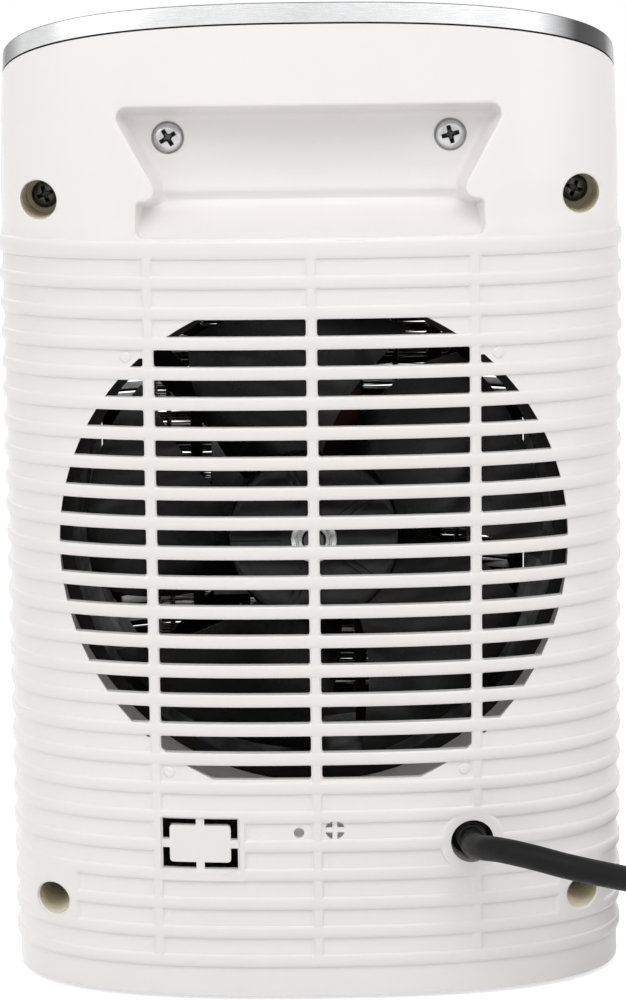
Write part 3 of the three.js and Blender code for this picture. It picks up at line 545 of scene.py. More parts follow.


# Below 0.2205 m the rear shell is satin, and its colour there is darkened as painted shade.
WHITE_REAR = shell_material("white_ribbed_plastic", 0.2205)
WHITE_GLOSS = shell_material("white_gloss_plastic")
# For the hand recess: satin white, its colour darkened throughout as painted shade in the recess.
WHITE_SATIN_PAINTED_SHADE = shell_material("white_satin_plastic_painted_shade", 1.0)
# Deep in a screw well the same plastic is given a warm, pale colour: painted light, for how it looks in
# the little light that reaches it.
WELL_WHITE = cloudy_material(
    "white_plastic_in_shade", [(0.3, linear(250, 243, 222)), (0.7, linear(253, 248, 232))],
    0.3, (120.0, 4.0), 60.0, (0.22, 0.32), 900.0,
)
TRIM = brushed_ring_material()
BLACK = surface("black_moulded_plastic_and_painted_shadow", (20, 20, 20), 0.4, vary=0.12, spread=0.1,
                specular=0.2)
BLACK_GLOSS = surface("black_gloss_plastic", (17, 17, 17), 0.24, vary=0.12, spread=0.08,
                      grain_depth=0.00001, specular=0.28)
KNOB = surface("black_soft_plastic", (30, 30, 31), 0.42, vary=0.1, grain=2600.0)
RUBBER = surface("black_rubber", (40, 40, 40), 0.6, vary=0.14, grain=2200.0,
                 grain_depth=0.00008)
CORD_SKIN = surface("black_cord_jacket", (20, 20, 20), 0.5, vary=0.1, scale=90.0,
                    grain=1500.0, grain_depth=0.00006, spread=0.1, specular=0.15)
STEEL = surface("zinc_steel", (186, 187, 188), 0.3, 1.0, vary=0.12, scale=160.0,
                grain=3000.0)
DARK_STEEL = surface("oxidised_steel_and_painted_shade", (104, 105, 107), 0.42, 1.0, vary=0.16, scale=120.0)
BLACK_STEEL = surface("blackened_steel", (24, 24, 25), 0.5, 1.0, vary=0.16, scale=120.0)
# Darker zinc steel: painted shade for the inside of the screws' cross recesses.
RECESS_SHADE_STEEL = surface("zinc_steel_painted_shade", (86, 86, 82), 0.5, 1.0, vary=0.55, scale=900.0)
BRIGHT_STEEL = surface("bright_steel", (205, 205, 204), 0.26, 1.0, vary=0.1, scale=200.0,
                       grain=3400.0)
MICA = surface("mica_board", (46, 41, 34), 0.6, vary=0.25, scale=140.0,
               grain=900.0, grain_depth=0.0001, specular=0.2)
NICHROME = surface("nichrome_wire", (122, 117, 109), 0.4, 1.0, vary=0.2, scale=300.0)
COPPER = surface("enamelled_copper", (44, 26, 20), 0.4, 1.0, vary=0.16, scale=220.0,
                 stretch=(1.0, 1.0, 14.0))
BRONZE = surface("sintered_bronze", (146, 110, 62), 0.5, 1.0, vary=0.16, scale=260.0,
                 grain=2600.0, grain_depth=0.00006)
PHENOLIC = surface("brown_phenolic", (62, 46, 36), 0.45, vary=0.16)
CERAMIC = surface("cream_ceramic", (222, 216, 204), 0.4, vary=0.04, scale=90.0)
INK = surface("grey_print", (70, 71, 74), 0.6, vary=0.06, scale=300.0)
POINTER = surface("white_pointer", (232, 232, 230), 0.4, vary=0.03, scale=200.0)
AMBER = cloudy_material(
    "amber_lens", [(0.3, linear(190, 86, 18)), (0.7, linear(226, 120, 34))],
    0.16, (260.0, 3.0), 420.0, (0.1, 0.22), 1600.0, {"Transmission Weight": 0.35, "IOR": 1.49},
)

# -------- the mains lead

COIL = {"x": -165.5, "y": -9.0, "turns": 5.5, "pitch": 7.8, "inner": 29.0, "steps": 24}
COIL_LOW_Z = CORD_RADIUS + 1
COIL_HIGH_Z = COIL_LOW_Z + COIL["pitch"]
CORD_STUB = 2 * CORD_RADIUS
GLAND_END_Y = REAR_DEPTH + PLAN_Y - 5


def coil_point(turn):
    middle = COIL["turns"] / 2
    radius = COIL["inner"] + COIL["pitch"] * abs(turn - middle)
    drop = smooth((turn - middle) / 0.5 + 0.5)
    angle = -2 * pi * turn
    return (
        COIL["x"] + radius * cos(angle),
        COIL["y"] + radius * sin(angle),
        COIL_HIGH_Z + (COIL_LOW_Z - COIL_HIGH_Z) * drop,
    )


def coil_points():
    start, end = coil_point(0), coil_point(COIL["turns"])
    count = round(COIL["turns"] * COIL["steps"])
    points = [(start[0], start[1] + CORD_STUB, start[2])]
    points += [coil_point(COIL["turns"] * k / count) for k in range(count + 1)]
    points.append((end[0], end[1] + CORD_STUB, end[2]))
    return points


coil = coil_points()
coil_start, coil_end = coil[0], coil[-1]
LEAD_ROUTE = [  # x, how far past the strain relief's end in y, z
    (CORD_X, GAP, CORD_Z), (CORD_X, 7, CORD_Z + 0.2), (-46.3, 16.5, 48.1), (-51.5, 25, 49.6),
    (-59.7, 30.3, 49), (-68.5, 32, 46.9), (-77.4, 31.1, 44.5), (-86.6, 27.8, 41.6),
    (-95.6, 21.5, 37.5), (-103.8, 12.1, 31.5), (-110, -0.5, 24.7), (-113.8, -14.8, 18.5),
    (coil_start[0], -31, 14),
]
TAIL_ROUTE = [  # x and y from the coil's end, z
    (0, 12, COIL_LOW_Z), (0.8, 24, 5.3), (5.2, 38, 7.6), (13.6, 50.5, 10.6), (25, 59.5, 12.9),
]
PLUG = {"x": -176.0, "y": 63.0, "z": 13.6, "length": 37.0}
LEAD = [(x, GLAND_END_Y + past, z) for x, past, z in LEAD_ROUTE]
LEAD.append((coil_start[0], coil_start[1] + 12, COIL_HIGH_Z))
TAIL = [(coil_end[0] + x, coil_end[1] + y, z) for x, y, z in TAIL_ROUTE]
TAIL += [(PLUG["x"] - 10, PLUG["y"] - 0.4, PLUG["z"]), (PLUG["x"] - GAP, PLUG["y"], PLUG["z"])]


def make_cord():
    route = LEAD + coil + TAIL
    data = bpy.data.curves.new("mains_lead", "CURVE")
    data.dimensions = "3D"
    data.bevel_depth = CORD_RADIUS * MM
    data.bevel_resolution = 6
    data.use_fill_caps = True
    data.resolution_u = 6
    spline = data.splines.new("BEZIER")
    spline.bezier_points.add(len(route) - 1)
    for point, place in zip(spline.bezier_points, route):
        point.co = Vector(place) * MM
        point.handle_left_type = point.handle_right_type = "AUTO"
    data.materials.append(CORD_SKIN)
    cord = new_object("mains_lead", data)
    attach(cord, "casing")
    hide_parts("mains_cord", "cord_coil", "cord_tail")
    return cord


cord = make_cord()

GLAND_LENGTH = 27


def gland_shape():
    """A tapered strain relief with a flange and rings, its wide end behind the wall."""
    profile = [(0, 0), (7.4, 0), (7.6, 0.3), (7.6, 3.7), (7.4, 4), (5.9, 4.4), (5.8, 5)]
    for k in range(9):
        low = 6 + k * 2.2
        wide = 5.7 - 1.5 * (low - 5) / 22
        profile += [(wide, low), (wide, low + 1.3), (wide - 0.5, low + 1.5), (wide - 0.5, low + 2.0)]
    return lathe(profile + [(4.1, 26.2), (4.05, 26.9), (0, GLAND_LENGTH)], 40)


gland = piece(
    "strain_relief", moved(gland_shape(), ALONG_Y), RUBBER, "rubber_black", ["cord_gland"],
    matrix=Matrix.Translation((CORD_X, GLAND_END_Y - GLAND_LENGTH, CORD_Z)),
)


def plug_shape():
    """A contoured body on its flat side, with finger grips and a ribbed neck."""
    sections = [
        (0.0, 4.6, 4.6), (1.5, 4.9, 4.9), (3.0, 4.4, 4.4), (4.5, 5.0, 4.9), (6.0, 4.5, 4.5),
        (7.5, 5.1, 5.0), (9.0, 4.7, 4.6), (10.5, 5.4, 5.1), (12.0, 5.7, 5.2), (15.0, 7.4, 6.9),
        (18.0, 9.0, 8.6), (21.0, 11.0, 10.2), (24.0, 12.7, 11.4), (27.0, 14.3, 12.1),
        (30.0, 15.5, 12.7), (33.0, 16.0, 13.0), (35.5, 15.9, 12.9), (36.6, 15.4, 12.4),
        (37.0, 14.7, 11.7),
    ]
    return loft([
        [(x, width * power(cos(a), 0.75), height * power(sin(a), 0.75))
         for a in turns(48)] for x, width, height in sections
    ])


PIN_Y = 9.5
AT_PLUG = Matrix.Translation((PLUG["x"], PLUG["y"], PLUG["z"]))
plug_object = as_object("plug_body_fine", plug_shape())
boolean(plug_object, [
    shifted(moved(rod(2.7, 0, 10, 24), ALONG_X), 32, side * PIN_Y) for side in SIDES
], "DIFFERENCE")
finish_piece(plug_object, RUBBER, "rubber_black", ["plug_body"], sharp=40, matrix=AT_PLUG)
for side, side_name in zip(SIDES, ("left", "right")):
    pin = lathe([(0, 0), (2.4, 0), (2.4, 21.4), (2.1, 22.5), (1.4, 23), (0, 23)], 32)
    piece(
        f"plug_pin_{side_name}_fine", moved(pin, ALONG_X), BRIGHT_STEEL, "pin_metal",
        [f"plug_pin_{side_name}"],
        matrix=AT_PLUG @ Matrix.Translation((PLUG["length"] - 4.5, side * PIN_Y, 0)),
    )


def tie_shape():
    """A soft strap round the coil's bundle."""
    inner, outer = COIL["inner"] - CORD_RADIUS - 0.6, 53.2
    low, high = 0.6, COIL_HIGH_Z + CORD_RADIUS + 0.5
    thick, half = 0.6, 4.9
    bore = rounded_box(inner, outer, low, high, 2.5, 6)
    skin = rounded_box(inner - thick, outer + thick, low - thick, high + thick, 3.0, 6)
    return strips([
        [(sx, -half, sz), (bx, -half, bz), (bx, half, bz), (sx, half, sz)]
        for (bx, bz), (sx, sz) in zip(bore, skin)
    ], around=True)


tie = piece(
    "coil_tie_strap", tie_shape(), RUBBER, "rubber_black", ["coil_tie"],
    matrix=Matrix.Translation((COIL["x"], COIL["y"], 0)) @ Matrix.Rotation(-pi / 2, 4, "Z"),
)

# -------- shells as fine grids

DENSE = 4000  # short steps along the plan, of which the grid's places are picked


def stations(rear, step, marks=()):
    """Places along half of the plan, from +X round to -X, with the wall's outward direction."""
    seam = abs(SEAM_Y) + (-GAP if rear else GAP) / 2
    past = asin((seam / FRONT_DEPTH) ** (POWER / 2))
    first, last = (-past, pi + past) if rear else (pi + past, 2 * pi - past)
    line = [plan_point(first + (last - first) * k / DENSE) for k in range(DENSE + 1)]
    travelled = [0.0]
    for (x0, y0), (x1, y1) in zip(line, line[1:]):
        travelled.append(travelled[-1] + hypot(x1 - x0, y1 - y0))
    count = round(travelled[-1] / step)
    even = [bisect.bisect_left(travelled, travelled[-1] * i / count) for i in range(1, count)]
    forced = {min(range(DENSE + 1), key=lambda k: abs(line[k][0] - mark) + (line[k][1] < 0) * 99)
              for mark in marks}
    even = {k for k in even
            if all(abs(travelled[k] - travelled[f]) > 0.45 * step for f in forced)}
    places = []
    for k in sorted(even | forced | {0, DENSE}):
        x, y = line[k]
        normal = Vector((power(x, POWER - 1) / HALF_WIDTH ** POWER,
                         power(y, POWER - 1) / depth_at(y) ** POWER)).normalized()
        if k in (0, DENSE):
            normal = Vector((copysign(1, normal.x), 0))
        places.append((x, y, normal))
    return places


def shell_grid(places, levels, upper_steps, relief):
    """A closed wall over the places, from the lowest level up to the sloping rim."""
    rings = []
    for row in range(len(levels) + upper_steps):
        outer, inner = [], []
        for x, y, normal in places:
            if row < len(levels):
                z = levels[row]
            else:
                part = (row - len(levels) + 1) / upper_steps
                rim_y = y * (1 - RING_LEAN / depth_at(y))
                z = levels[-1] + (ring_z(-GAP, rim_y) - levels[-1]) * part
            lean = lean_at(z)
            base = Vector((x * (1 - lean / HALF_WIDTH), y * (1 - lean / depth_at(y))))
            inner.append((*(base - normal * WALL), z))
            # Relief stands straight back in the middle, and square to the wall at the sides.
            weight = smooth((abs(x) - 52) / 24)
            out = Vector((normal.x * weight, normal.y)).normalized()
            outer.append((*(base + out * relief(x, z)), z))
        rings.append(outer + inner[::-1])
    points, faces = strips(rings)
    across, top = len(places), len(points) - 2 * len(places)
    for i in range(across - 1):
        quad = (i, i + 1, 2 * across - 2 - i, 2 * across - 1 - i)
        faces += [quad, tuple(top + n for n in quad)]
    return points, faces


def column(inset, low, rim, sides=96):
    """The solid inside an inset of the wall, up to a rim whose height depends on y."""
    rings = []
    for level in (lambda y: low, lambda y: FOLD_Z, rim):
        ring = []
        for angle in turns(sides, 0.5):
            z = level(plan_point(angle, inset)[1])
            ring.append((*plan_point(angle, inset + lean_at(z)), z))
        rings.append(ring)
    return loft(rings)


def band(value, low, high, edge):
    """One between the limits, with a soft edge inside each."""
    return min(smooth((value - low) / edge), smooth((high - value) / edge))


RIB_HALF = RIB_THICK / 2 + 0.2
TOP_RIB = (217.05, 2.75)
ALL_RIBS = [TOP_RIB] + [(rib, RIB_HALF) for rib in RIBS]
RIB_STEPS = (-1, -0.97, -0.88, -0.72, -0.45, 0, 0.45, 0.72, 0.88, 0.97, 1)
RIB_POWER = 2.6
RELIEF_TOP = 221
BAR_RISE = 0.8
BAR_EDGE = BAR_WIDTH / 2 + 0.2
BAR_LIMITS = (10.6, 216)
SOFT = 0.8  # run-out of the bars and of the window's frame
FRAME = (20.2, 46.9, 35.2, 55.6)  # limits in x and in z
FIELD = (22.2, 45.2, 38.5, 54.7)  # the sunk field inside the frame
FIELD_SOFT = 0.6
PAD_X = 69.2
PAD_SOFT = 0.7


@functools.cache
def rib_rise(z):
    for centre, half in ALL_RIBS:
        away = abs(z - centre) / half
        if away < 1:
            return (1 - away ** RIB_POWER) ** (1 / RIB_POWER)
    return 0.0


def pad_rise(x):
    """How far the pads round the lower wells stand proud: they fade out round the corner."""
    return 1 - smooth((abs(x) - 82) / 5)


def rear_relief(x, z):
    """How far the rear wall's ribs, bars, window frame and pads stand proud at a place."""
    if z > RELIEF_TOP:
        return 0.0
    rise = rib_rise(z)
    if BAR_LIMITS[0] < z < BAR_LIMITS[1]:
        for bar in BARS:
            rise = max(rise, BAR_RISE * band(x, bar - BAR_EDGE, bar + BAR_EDGE, SOFT))
    frame_rise = band(x, *FRAME[:2], SOFT) * band(z, *FRAME[2:], SOFT)
    if frame_rise > 0:
        sunk = band(x, *FIELD[:2], FIELD_SOFT) * band(z, *FIELD[2:], FIELD_SOFT)
        rise = max(rise, frame_rise) * (1 - sunk)
    if RIBS[1] < z < RIBS[3]:
        rise = max(rise, smooth((abs(x) - PAD_X) / PAD_SOFT) * pad_rise(x))
    return rise


def frame_lines(axis):
    """Grid lines over the soft edges of the window's frame and field: across (0) or up (2)."""
    lines = []
    for limits, soft in ((FRAME, SOFT), (FIELD, FIELD_SOFT)):
        low, high = limits[axis:axis + 2]
        for inwards in (0, soft / 2, soft):
            lines += [low + inwards, high - inwards]
    return lines


def rear_levels():
    """Heights of the rear wall's grid lines, close together over each rib and soft edge."""
    levels = [FOOT, 4.0, 7.0, 9.6, 222.5, 226, 229.5, 232.5, 234.0, 234.75, 235.5, 236.25, 237.0]
    levels += [rib + RIB_HALF + 2.26 for rib in RIBS]
    levels += [centre + half * step for centre, half in ALL_RIBS for step in RIB_STEPS]
    kept = []
    for z in sorted(levels + frame_lines(2)):
        if not kept or z - kept[-1] > 0.11:
            kept.append(z)
    return kept


def rear_marks():
    """Places across the rear wall that need a grid line."""
    marks = frame_lines(0)
    for side in SIDES:
        marks += [side * (PAD_X + out) for out in (0, PAD_SOFT / 2, PAD_SOFT)]
        marks += [bar + side * (BAR_EDGE - back) for bar in BARS for back in (0, SOFT / 2, SOFT)]
    return marks


def surface_disc(x, z, profile, below, sides):
    """A round boss on the rear wall: a profile of (radius, rise) pairs over a flat root."""
    return loft([
        [(px, rear_y(px, z) + rise, pz) for px, pz in circle(x, z, radius, sides)]
        for radius, rise in [*profile, (profile[-1][0], -below)]
    ])


def mirrored(corners):
    return corners + [(-x, z, r) for x, z, r in reversed(corners)]


def grown_corners(corners, grow):
    """Corners of (x, z, radius), clockwise, with each edge moved outwards."""
    lines = []
    for i, (x, z, _) in enumerate(corners):
        nx, nz, _ = corners[(i + 1) % len(corners)]
        along = Vector((nx - x, nz - z)).normalized()
        out = Vector((-along.y, along.x))
        lines.append((Vector((x, z)) + out * grow, along))
    result = []
    for i, (_, _, radius) in enumerate(corners):
        (p, a), (q, b) = lines[i - 1], lines[i]
        turn = a.x * b.y - a.y * b.x
        reach = ((q.x - p.x) * b.y - (q.y - p.y) * b.x) / turn
        place = p + a * reach
        result.append((place.x, place.y, clamp(radius + (grow if turn < 0 else -grow), 0.3, 5.0)))
    return result


RECESS = [
    (55.7, 256.6, 2.9), (41.0, 230.3, 3.4), (48.7, 230.3, 1.5), (48.9, 220.4, 2.3),
]
RECESS_LIP = [(0.0, 0.9), (0.1, 0.58), (0.3, 0.3), (0.6, 0.1), (1.1, 0.0)]
RECESS_CORNER = [(2.7, -1.5), (1.7, -1.75), (0.9, -2.2), (0.35, -2.9), (0.06, -3.7), (0.0, -4.3)]

RECESS_SLOPE = [
    (34.9, 262.0), (34.9, 247.0), (35.1, 243.0), (35.5, 239.5), (36.1, 236.5), (36.7, 234.4),
    (36.95, 233.6), (37.0, 233.1), (36.9, 232.6), (36.5, 231.9), (36.15, 231.2), (36.0, 230.4),
]
SCOOP_STEPS = 8
SCOOP_DROP = 9.8
FAR_Y = 62.0  # outside the wall, for the recess's flat outer end


def recess_slab(grow):
    """Everything behind the recess's back wall, its crease and the scoop below it."""
    deep_y, deep_z = RECESS_SLOPE[-1]
    rings = []
    for x in range(-60, 61, 5):
        lip_y = rear_y(x) - 1.5
        line = RECESS_SLOPE + [
            (deep_y + (lip_y - deep_y) * (n / SCOOP_STEPS) ** 1.5, deep_z - SCOOP_DROP * n / SCOOP_STEPS)
            for n in range(1, SCOOP_STEPS + 1)
        ]
        line += [(lip_y + 0.5, 218.6), (FAR_Y, 217.0), (FAR_Y, RECESS_SLOPE[0][1])]
        rings.append([(x, y - grow, z if y == FAR_Y else z - grow) for y, z in line])
    return loft(rings)


def recess_outline(grow, steps=6, parts=24):
    """The recess's outline with its edges cut into short parts, so that it can follow the wall."""
    corners = rounded(grown_corners(mirrored(RECESS), grow), steps)
    outline = []
    for i, (x, z) in enumerate(corners):
        outline.append((x, z))
        if i % (steps + 1) == steps:
            nx, nz = corners[(i + 1) % len(corners)]
            outline += [(x + (nx - x) * k / parts, z + (nz - z) * k / parts)
                        for k in range(1, parts)]
    return outline


def recess_shape():
    """The cavity of the hand recess, with a soft lip and soft inner corners."""
    rings = [[(x, FAR_Y, z) for x, z in recess_outline(RECESS_LIP[0][1])]]
    for depth, grow in RECESS_LIP:
        rings.append([(x, rear_y(x, z) - depth, z) for x, z in recess_outline(grow)])
    for ahead, grow in RECESS_CORNER:
        rings.append([(x, RECESS_BACK + ahead, z) for x, z in recess_outline(grow)])
    return boolean(as_object("recess", loft(rings)), [recess_slab(0.0)], "INTERSECT")


def recess_liner():
    """The wall behind the recess."""
    outline = rounded(grown_corners(mirrored(RECESS), 2.0), 6)
    block = as_object("liner", prism(outline, RECESS_BACK - 2, FAR_Y))
    return boolean(block, [recess_slab(2.0)], "INTERSECT")


WELL_LIP = [(-4.0, 0.62), (0.0, 0.6), (0.1, 0.36), (0.3, 0.16), (0.6, 0.04), (1.2, 0.0)]


def well_shape(x, z, radius, rise):
    """A round well down to its floor, with a soft lip that follows the wall."""
    rings = []
    for depth, grow in WELL_LIP + [(None, 0.0)]:
        ring = []
        for px, pz in circle(x, z, radius + grow, 56):
            y = WELL_FLOOR_Y if depth is None else rear_y(px, pz) + rise(px) - depth
            ring.append((px, y, pz))
        rings.append(ring)
    return loft(rings)


def intake_cells():
    """The openings between ribs and bars inside the round intake, as one tool."""
    edges = [-INTAKE_RADIUS]
    for bar in BARS:
        edges += [bar - BAR_WIDTH / 2, bar + BAR_WIDTH / 2]
    edges.append(INTAKE_RADIUS)
    corner = 0.7
    cells = []
    for lower, upper in zip(RIBS, RIBS[1:]):
        low = max(lower + RIB_THICK / 2, INTAKE_LOW)
        high = min(upper - RIB_THICK / 2, INTAKE_HIGH)
        if high - low < 1:
            continue
        heights = [low, low + 0.12, low + 0.35, low + corner]
        heights += [low + corner + (high - low - 2 * corner) * k / 6 for k in range(1, 6)]
        heights += [high - corner, high - 0.35, high - 0.12, high]
        for left, right in zip(edges[0::2], edges[1::2]):
            near, far = [], []
            for z in heights:
                reach = sqrt(max(INTAKE_RADIUS ** 2 - (z - FAN_Z) ** 2, 0))
                inwards = corner - min(z - low, high - z, corner)
                pull = corner - sqrt(max(corner ** 2 - inwards ** 2, 0))
                start, end = max(left + pull, -reach), min(right - pull, reach)
                if end - start > 0.4:
                    near.append((start, z))
                    far.append((end, z))
            if len(near) > 2:
                cells.append(prism(near + far[::-1], 15, OUTSIDE_Y))
    return merged(cells)


def window_slots():
    """Four L-shaped slots round a small plate that is held by four bridges."""
    x, z, wide, high, slot = WINDOW
    in_x, in_z, bridge = wide - slot, high - slot, 1.2
    corner = [
        (bridge, high), (wide, high), (wide, bridge), (in_x, bridge), (in_x, in_z - 0.9),
        (in_x - 0.26, in_z - 0.26), (in_x - 0.9, in_z), (bridge, in_z),
    ]
    return merged([prism([(x + sx * dx, z + sz * dz) for dx, dz in corner], 30, OUTSIDE_Y)
                   for sx in SIDES for sz in SIDES])


def cross_vent():
    """Four quadrant pockets between the arms of a small cross."""
    x, z, radius = VENTS[1]
    arm = 0.7
    edge = asin(arm / radius)
    tools = []
    for start in turns(4):
        corner, reach = start + pi / 4, arm * sqrt(2)
        outline = [(x + reach * cos(corner), z + reach * sin(corner))]
        for k in range(7):
            angle = start + edge + (pi / 2 - 2 * edge) * k / 6
            outline.append((x + radius * cos(angle), z + radius * sin(angle)))
        tools.append(prism(outline, 47.2, OUTSIDE_Y))
    return merged(tools)


CORD_BOSS = [(3.0, 1.0), (8.2, 1.0), (8.75, 0.93), (9.15, 0.7), (9.35, 0.3)]
PIP = [(0.5, 0.6), (1.2, 0.58), (1.5, 0.4), (1.7, 0.02)]
SEAT_Y = RECESS_BACK - 1.2  # where the recess screws' heads rest
LINER_Y = 60  # outer end of the walls inside, before they are cut to the shell
GATE_Z = 245.2
LEAD_HOLE, LEAD_TUBE = 6.2, 9.3  # radii
SCREW_SEAT, SCREW_BOSS = 4.65, 6.5  # radii


def inner_walls():
    """The walls that stand on the inside of the rear shell, each cut to the shell's inside."""
    section = [(COLLAR_RADIUS, 24), (COLLAR_RADIUS + WALL, 24),
               (COLLAR_RADIUS + WALL, LINER_Y), (COLLAR_RADIUS, LINER_Y)]
    collar = shifted(moved(tube_ring(section, 96), ALONG_Y), z=FAN_Z)
    shapes = [bar_y(radius + WALL, 1.5, LINER_Y, side * x, z, 40)
              for side in SIDES for x, z, radius in WELLS]
    shapes.append(bar_y(LEAD_TUBE, 38, LINER_Y, CORD_X, CORD_Z, 40))
    shapes += [bar_y(radius + 1.8, 42.5, LINER_Y, x, z, 32) for x, z, radius in VENTS]
    walls = [as_object("collar", collar), recess_liner()]
    walls += [as_object("inner_wall", shape) for shape in shapes]
    core = column(1.1, FOOT + 0.5, lambda y: ring_z(-GAP - 0.6, y))
    return [boolean(wall, [core], "INTERSECT") for wall in walls]


def make_rear_shell():
    places = stations(True, 1.9, rear_marks())
    shell = as_object("rear_shell_fine", shell_grid(places, rear_levels(), 12, rear_relief))
    boolean(shell, inner_walls(), "UNION")
    screw_x, screw_z = RECESS_SCREW
    added = [surface_disc(CORD_X, CORD_Z, CORD_BOSS, 1.4, 48)]
    added += [surface_disc(x, z, PIP, 0.8, 20) for x, z in PIPS]
    added += [bar_y(SCREW_BOSS, RECESS_BACK - 9, RECESS_BACK - 1, side * screw_x, screw_z)
              for side in SIDES]
    boolean(shell, added, "UNION")

    x, z, radius = VENTS[0]
    holes = [intake_cells(), recess_shape(), window_slots(), cross_vent(),
             bar_y(radius, 46.3, OUTSIDE_Y, x, z, 24),
             bar_y(LEAD_HOLE, 30, OUTSIDE_Y, CORD_X, CORD_Z, 56)]
    for side in SIDES:
        for (x, z, radius), rise in zip(WELLS, (lambda px: 0.0, pad_rise)):
            holes.append(well_shape(side * x, z, radius, rise))
        holes.append(bar_y(SCREW_SEAT, SEAT_Y, RECESS_BACK + 2, side * screw_x, screw_z, 40))
    boolean(shell, holes, "DIFFERENCE")
    gate = bar_y(1.3, RECESS_BACK - 1.6, RECESS_BACK + 0.1, 0.0, GATE_Z, 20, 1.0)
    boolean(shell, [gate], "UNION")
    finish_piece(shell, WHITE_REAR, "shell_satin", ["rear_shell"], sharp=30)

    def below_wall(face, depth):
        x, y, z = face.center / MM
        return y - PLAN_Y < rear_y(x, z) - depth

    def in_well(face):
        x, _, z = face.center / MM
        return below_wall(face, 0.9) and any(
            hypot(abs(x) - well_x, z - well_z) < radius + 0.03
            for well_x, well_z, radius in WELLS)

    def in_recess(face):
        x, _, z = face.center / MM
        return abs(x) < 58 and 219.5 < z < 258 and below_wall(face, 1.15)

    # Painted light: the faces deep in the wells get the warm, pale colour.
    paint(shell, WELL_WHITE, in_well)
    # Painted shade: the hand recess's faces get the darker satin white.
    paint(shell, WHITE_SATIN_PAINTED_SHADE, in_recess)


make_rear_shell()

# -------- front shell and outlet grille

OUTLET_HALF = 66.0
OUTLET_LOW = FAN_Z - 72
OUTLET_HIGH = FAN_Z + 72
OUTLET_CUT = (-95, -20)  # limits in y of what shapes the outlet


def outlet_prism(gap):
    half, low, high = OUTLET_HALF - gap, OUTLET_LOW + gap, OUTLET_HIGH - gap
    return prism(rounded_box(-half, half, low, high, 7 - gap, 8), *OUTLET_CUT)


def make_front_shell():
    levels = [FOOT, 2.2, 4.0, *(10.0 + 12.0 * k for k in range(19))]
    levels += [232.0, 234.0, 234.75, 235.5, 236.1]
    grid = shell_grid(stations(False, 2.6), levels, 8, lambda x, z: 0.0)
    shell = boolean(as_object("front_shell_fine", grid), [outlet_prism(0)], "DIFFERENCE")
    finish_piece(shell, WHITE_GLOSS, "shell_gloss", ["front_shell"], sharp=30)


make_front_shell()


def front_layer(inset, thick, low, high, climb=0.0):
    """A curved plate along the front, behind an inset of the wall; it may climb to the front."""
    places = stations(False, 2.6)
    rings = []
    for z in (low, high):
        outer = [(x - n.x * inset, y - n.y * inset, z + climb) for x, y, n in places]
        inner = [(x - n.x * (inset + thick), y - n.y * (inset + thick), z) for x, y, n in places]
        rings.append(outer + inner[::-1])
    return loft(rings)


SLOT_ROWS = 10
LOUVRES = 4
LOUVRE_CLIMB = 1.2


def make_grille():
    """A plate with two columns of slots, a fin between rows and tilted louvres in each slot."""
    grille = as_object("outlet_grille_fine", front_layer(0.5, 2.2, OUTLET_LOW - 4, OUTLET_HIGH + 4))
    boolean(grille, [outlet_prism(GAP)], "INTERSECT")
    pitch = (OUTLET_HIGH - OUTLET_LOW - 8) / SLOT_ROWS
    half, post = OUTLET_HALF - 5, 1.5
    fins, louvres, slots = [], [], []
    for k in range(SLOT_ROWS):
        low = OUTLET_LOW + 4 + pitch * k
        for x0, x1 in ((-half, -post), (post, half)):
            slot = rounded_box(x0, x1, low + 1.6, low + pitch - 1.6, 2.2)
            slots.append(prism(slot, *OUTLET_CUT))
        if k:
            fins.append(front_layer(1.2, 6.5, low - 0.8, low + 0.8))
        for n in range(1, LOUVRES):
            z = low + pitch * n / LOUVRES - LOUVRE_CLIMB / 2
            louvres.append(front_layer(1.2, 7.0, z - 0.4, z + 0.4, LOUVRE_CLIMB))
    reach = OUTLET_HALF - 3
    fence = box(-reach, reach, *OUTLET_CUT, OUTLET_LOW, OUTLET_HIGH)

    def fenced(plates):
        return [boolean(as_object("fin", plate), [fence], "INTERSECT") for plate in plates]

    boolean(grille, fenced(fins), "UNION")
    boolean(grille, [merged(slots)], "DIFFERENCE")
    boolean(grille, fenced(louvres), "UNION")
    finish_piece(grille, BLACK, "black_plastic", ["outlet_grille"], sharp=30)


make_grille()

# -------- trim ring and top panel

AROUND = 160


def slanted(angle, inset, rise):
    """A point of the sloping rim, as far inside the wall as inset."""
    z = ring_z(rise, plan_point(angle, inset + 1)[1])
    x, y = plan_point(angle, inset + lean_at(z))
    return x, y, ring_z(rise, y)


RING_PROFILE = [
    (0.5, 0.0), (0.5, 0.2), (0.1, 0.24), (0.1, 5.58), (0.13, 5.74), (0.24, 5.86),
    (0.45, RING_HEIGHT), (1.9, RING_HEIGHT), (2.2, 5.8), (2.38, 5.55), (2.4, 5.2), (2.4, 1.5),
    (6.0, 1.5), (6.0, 0.0),
]
UNDERCUT_PAINTED_SHADOW = (0, 1, len(RING_PROFILE) - 1)
ROLLED_EDGE_PAINTED_SHADE = (3, 4, 5)


def make_ring():
    """The trim ring: black in the undercut below it as painted shadow, darker on the rolled upper edge
    as painted shade.
    """
    rings = [[slanted(angle, inset, rise) for inset, rise in RING_PROFILE]
             for angle in turns(AROUND, 0.5)]
    ring = piece("trim_ring_fine", strips(rings, around=True), TRIM, "trim_metal",
                 ["top_trim_ring"])
    count = len(RING_PROFILE)
    # Painted shadow: the undercut's faces are black.
    paint(ring, BLACK, lambda face: face.index % count in UNDERCUT_PAINTED_SHADOW)
    # Painted shade: the rolled upper edge is given the darker steel.
    paint(ring, DARK_STEEL, lambda face: face.index % count in ROLLED_EDGE_PAINTED_SHADE)


make_ring()

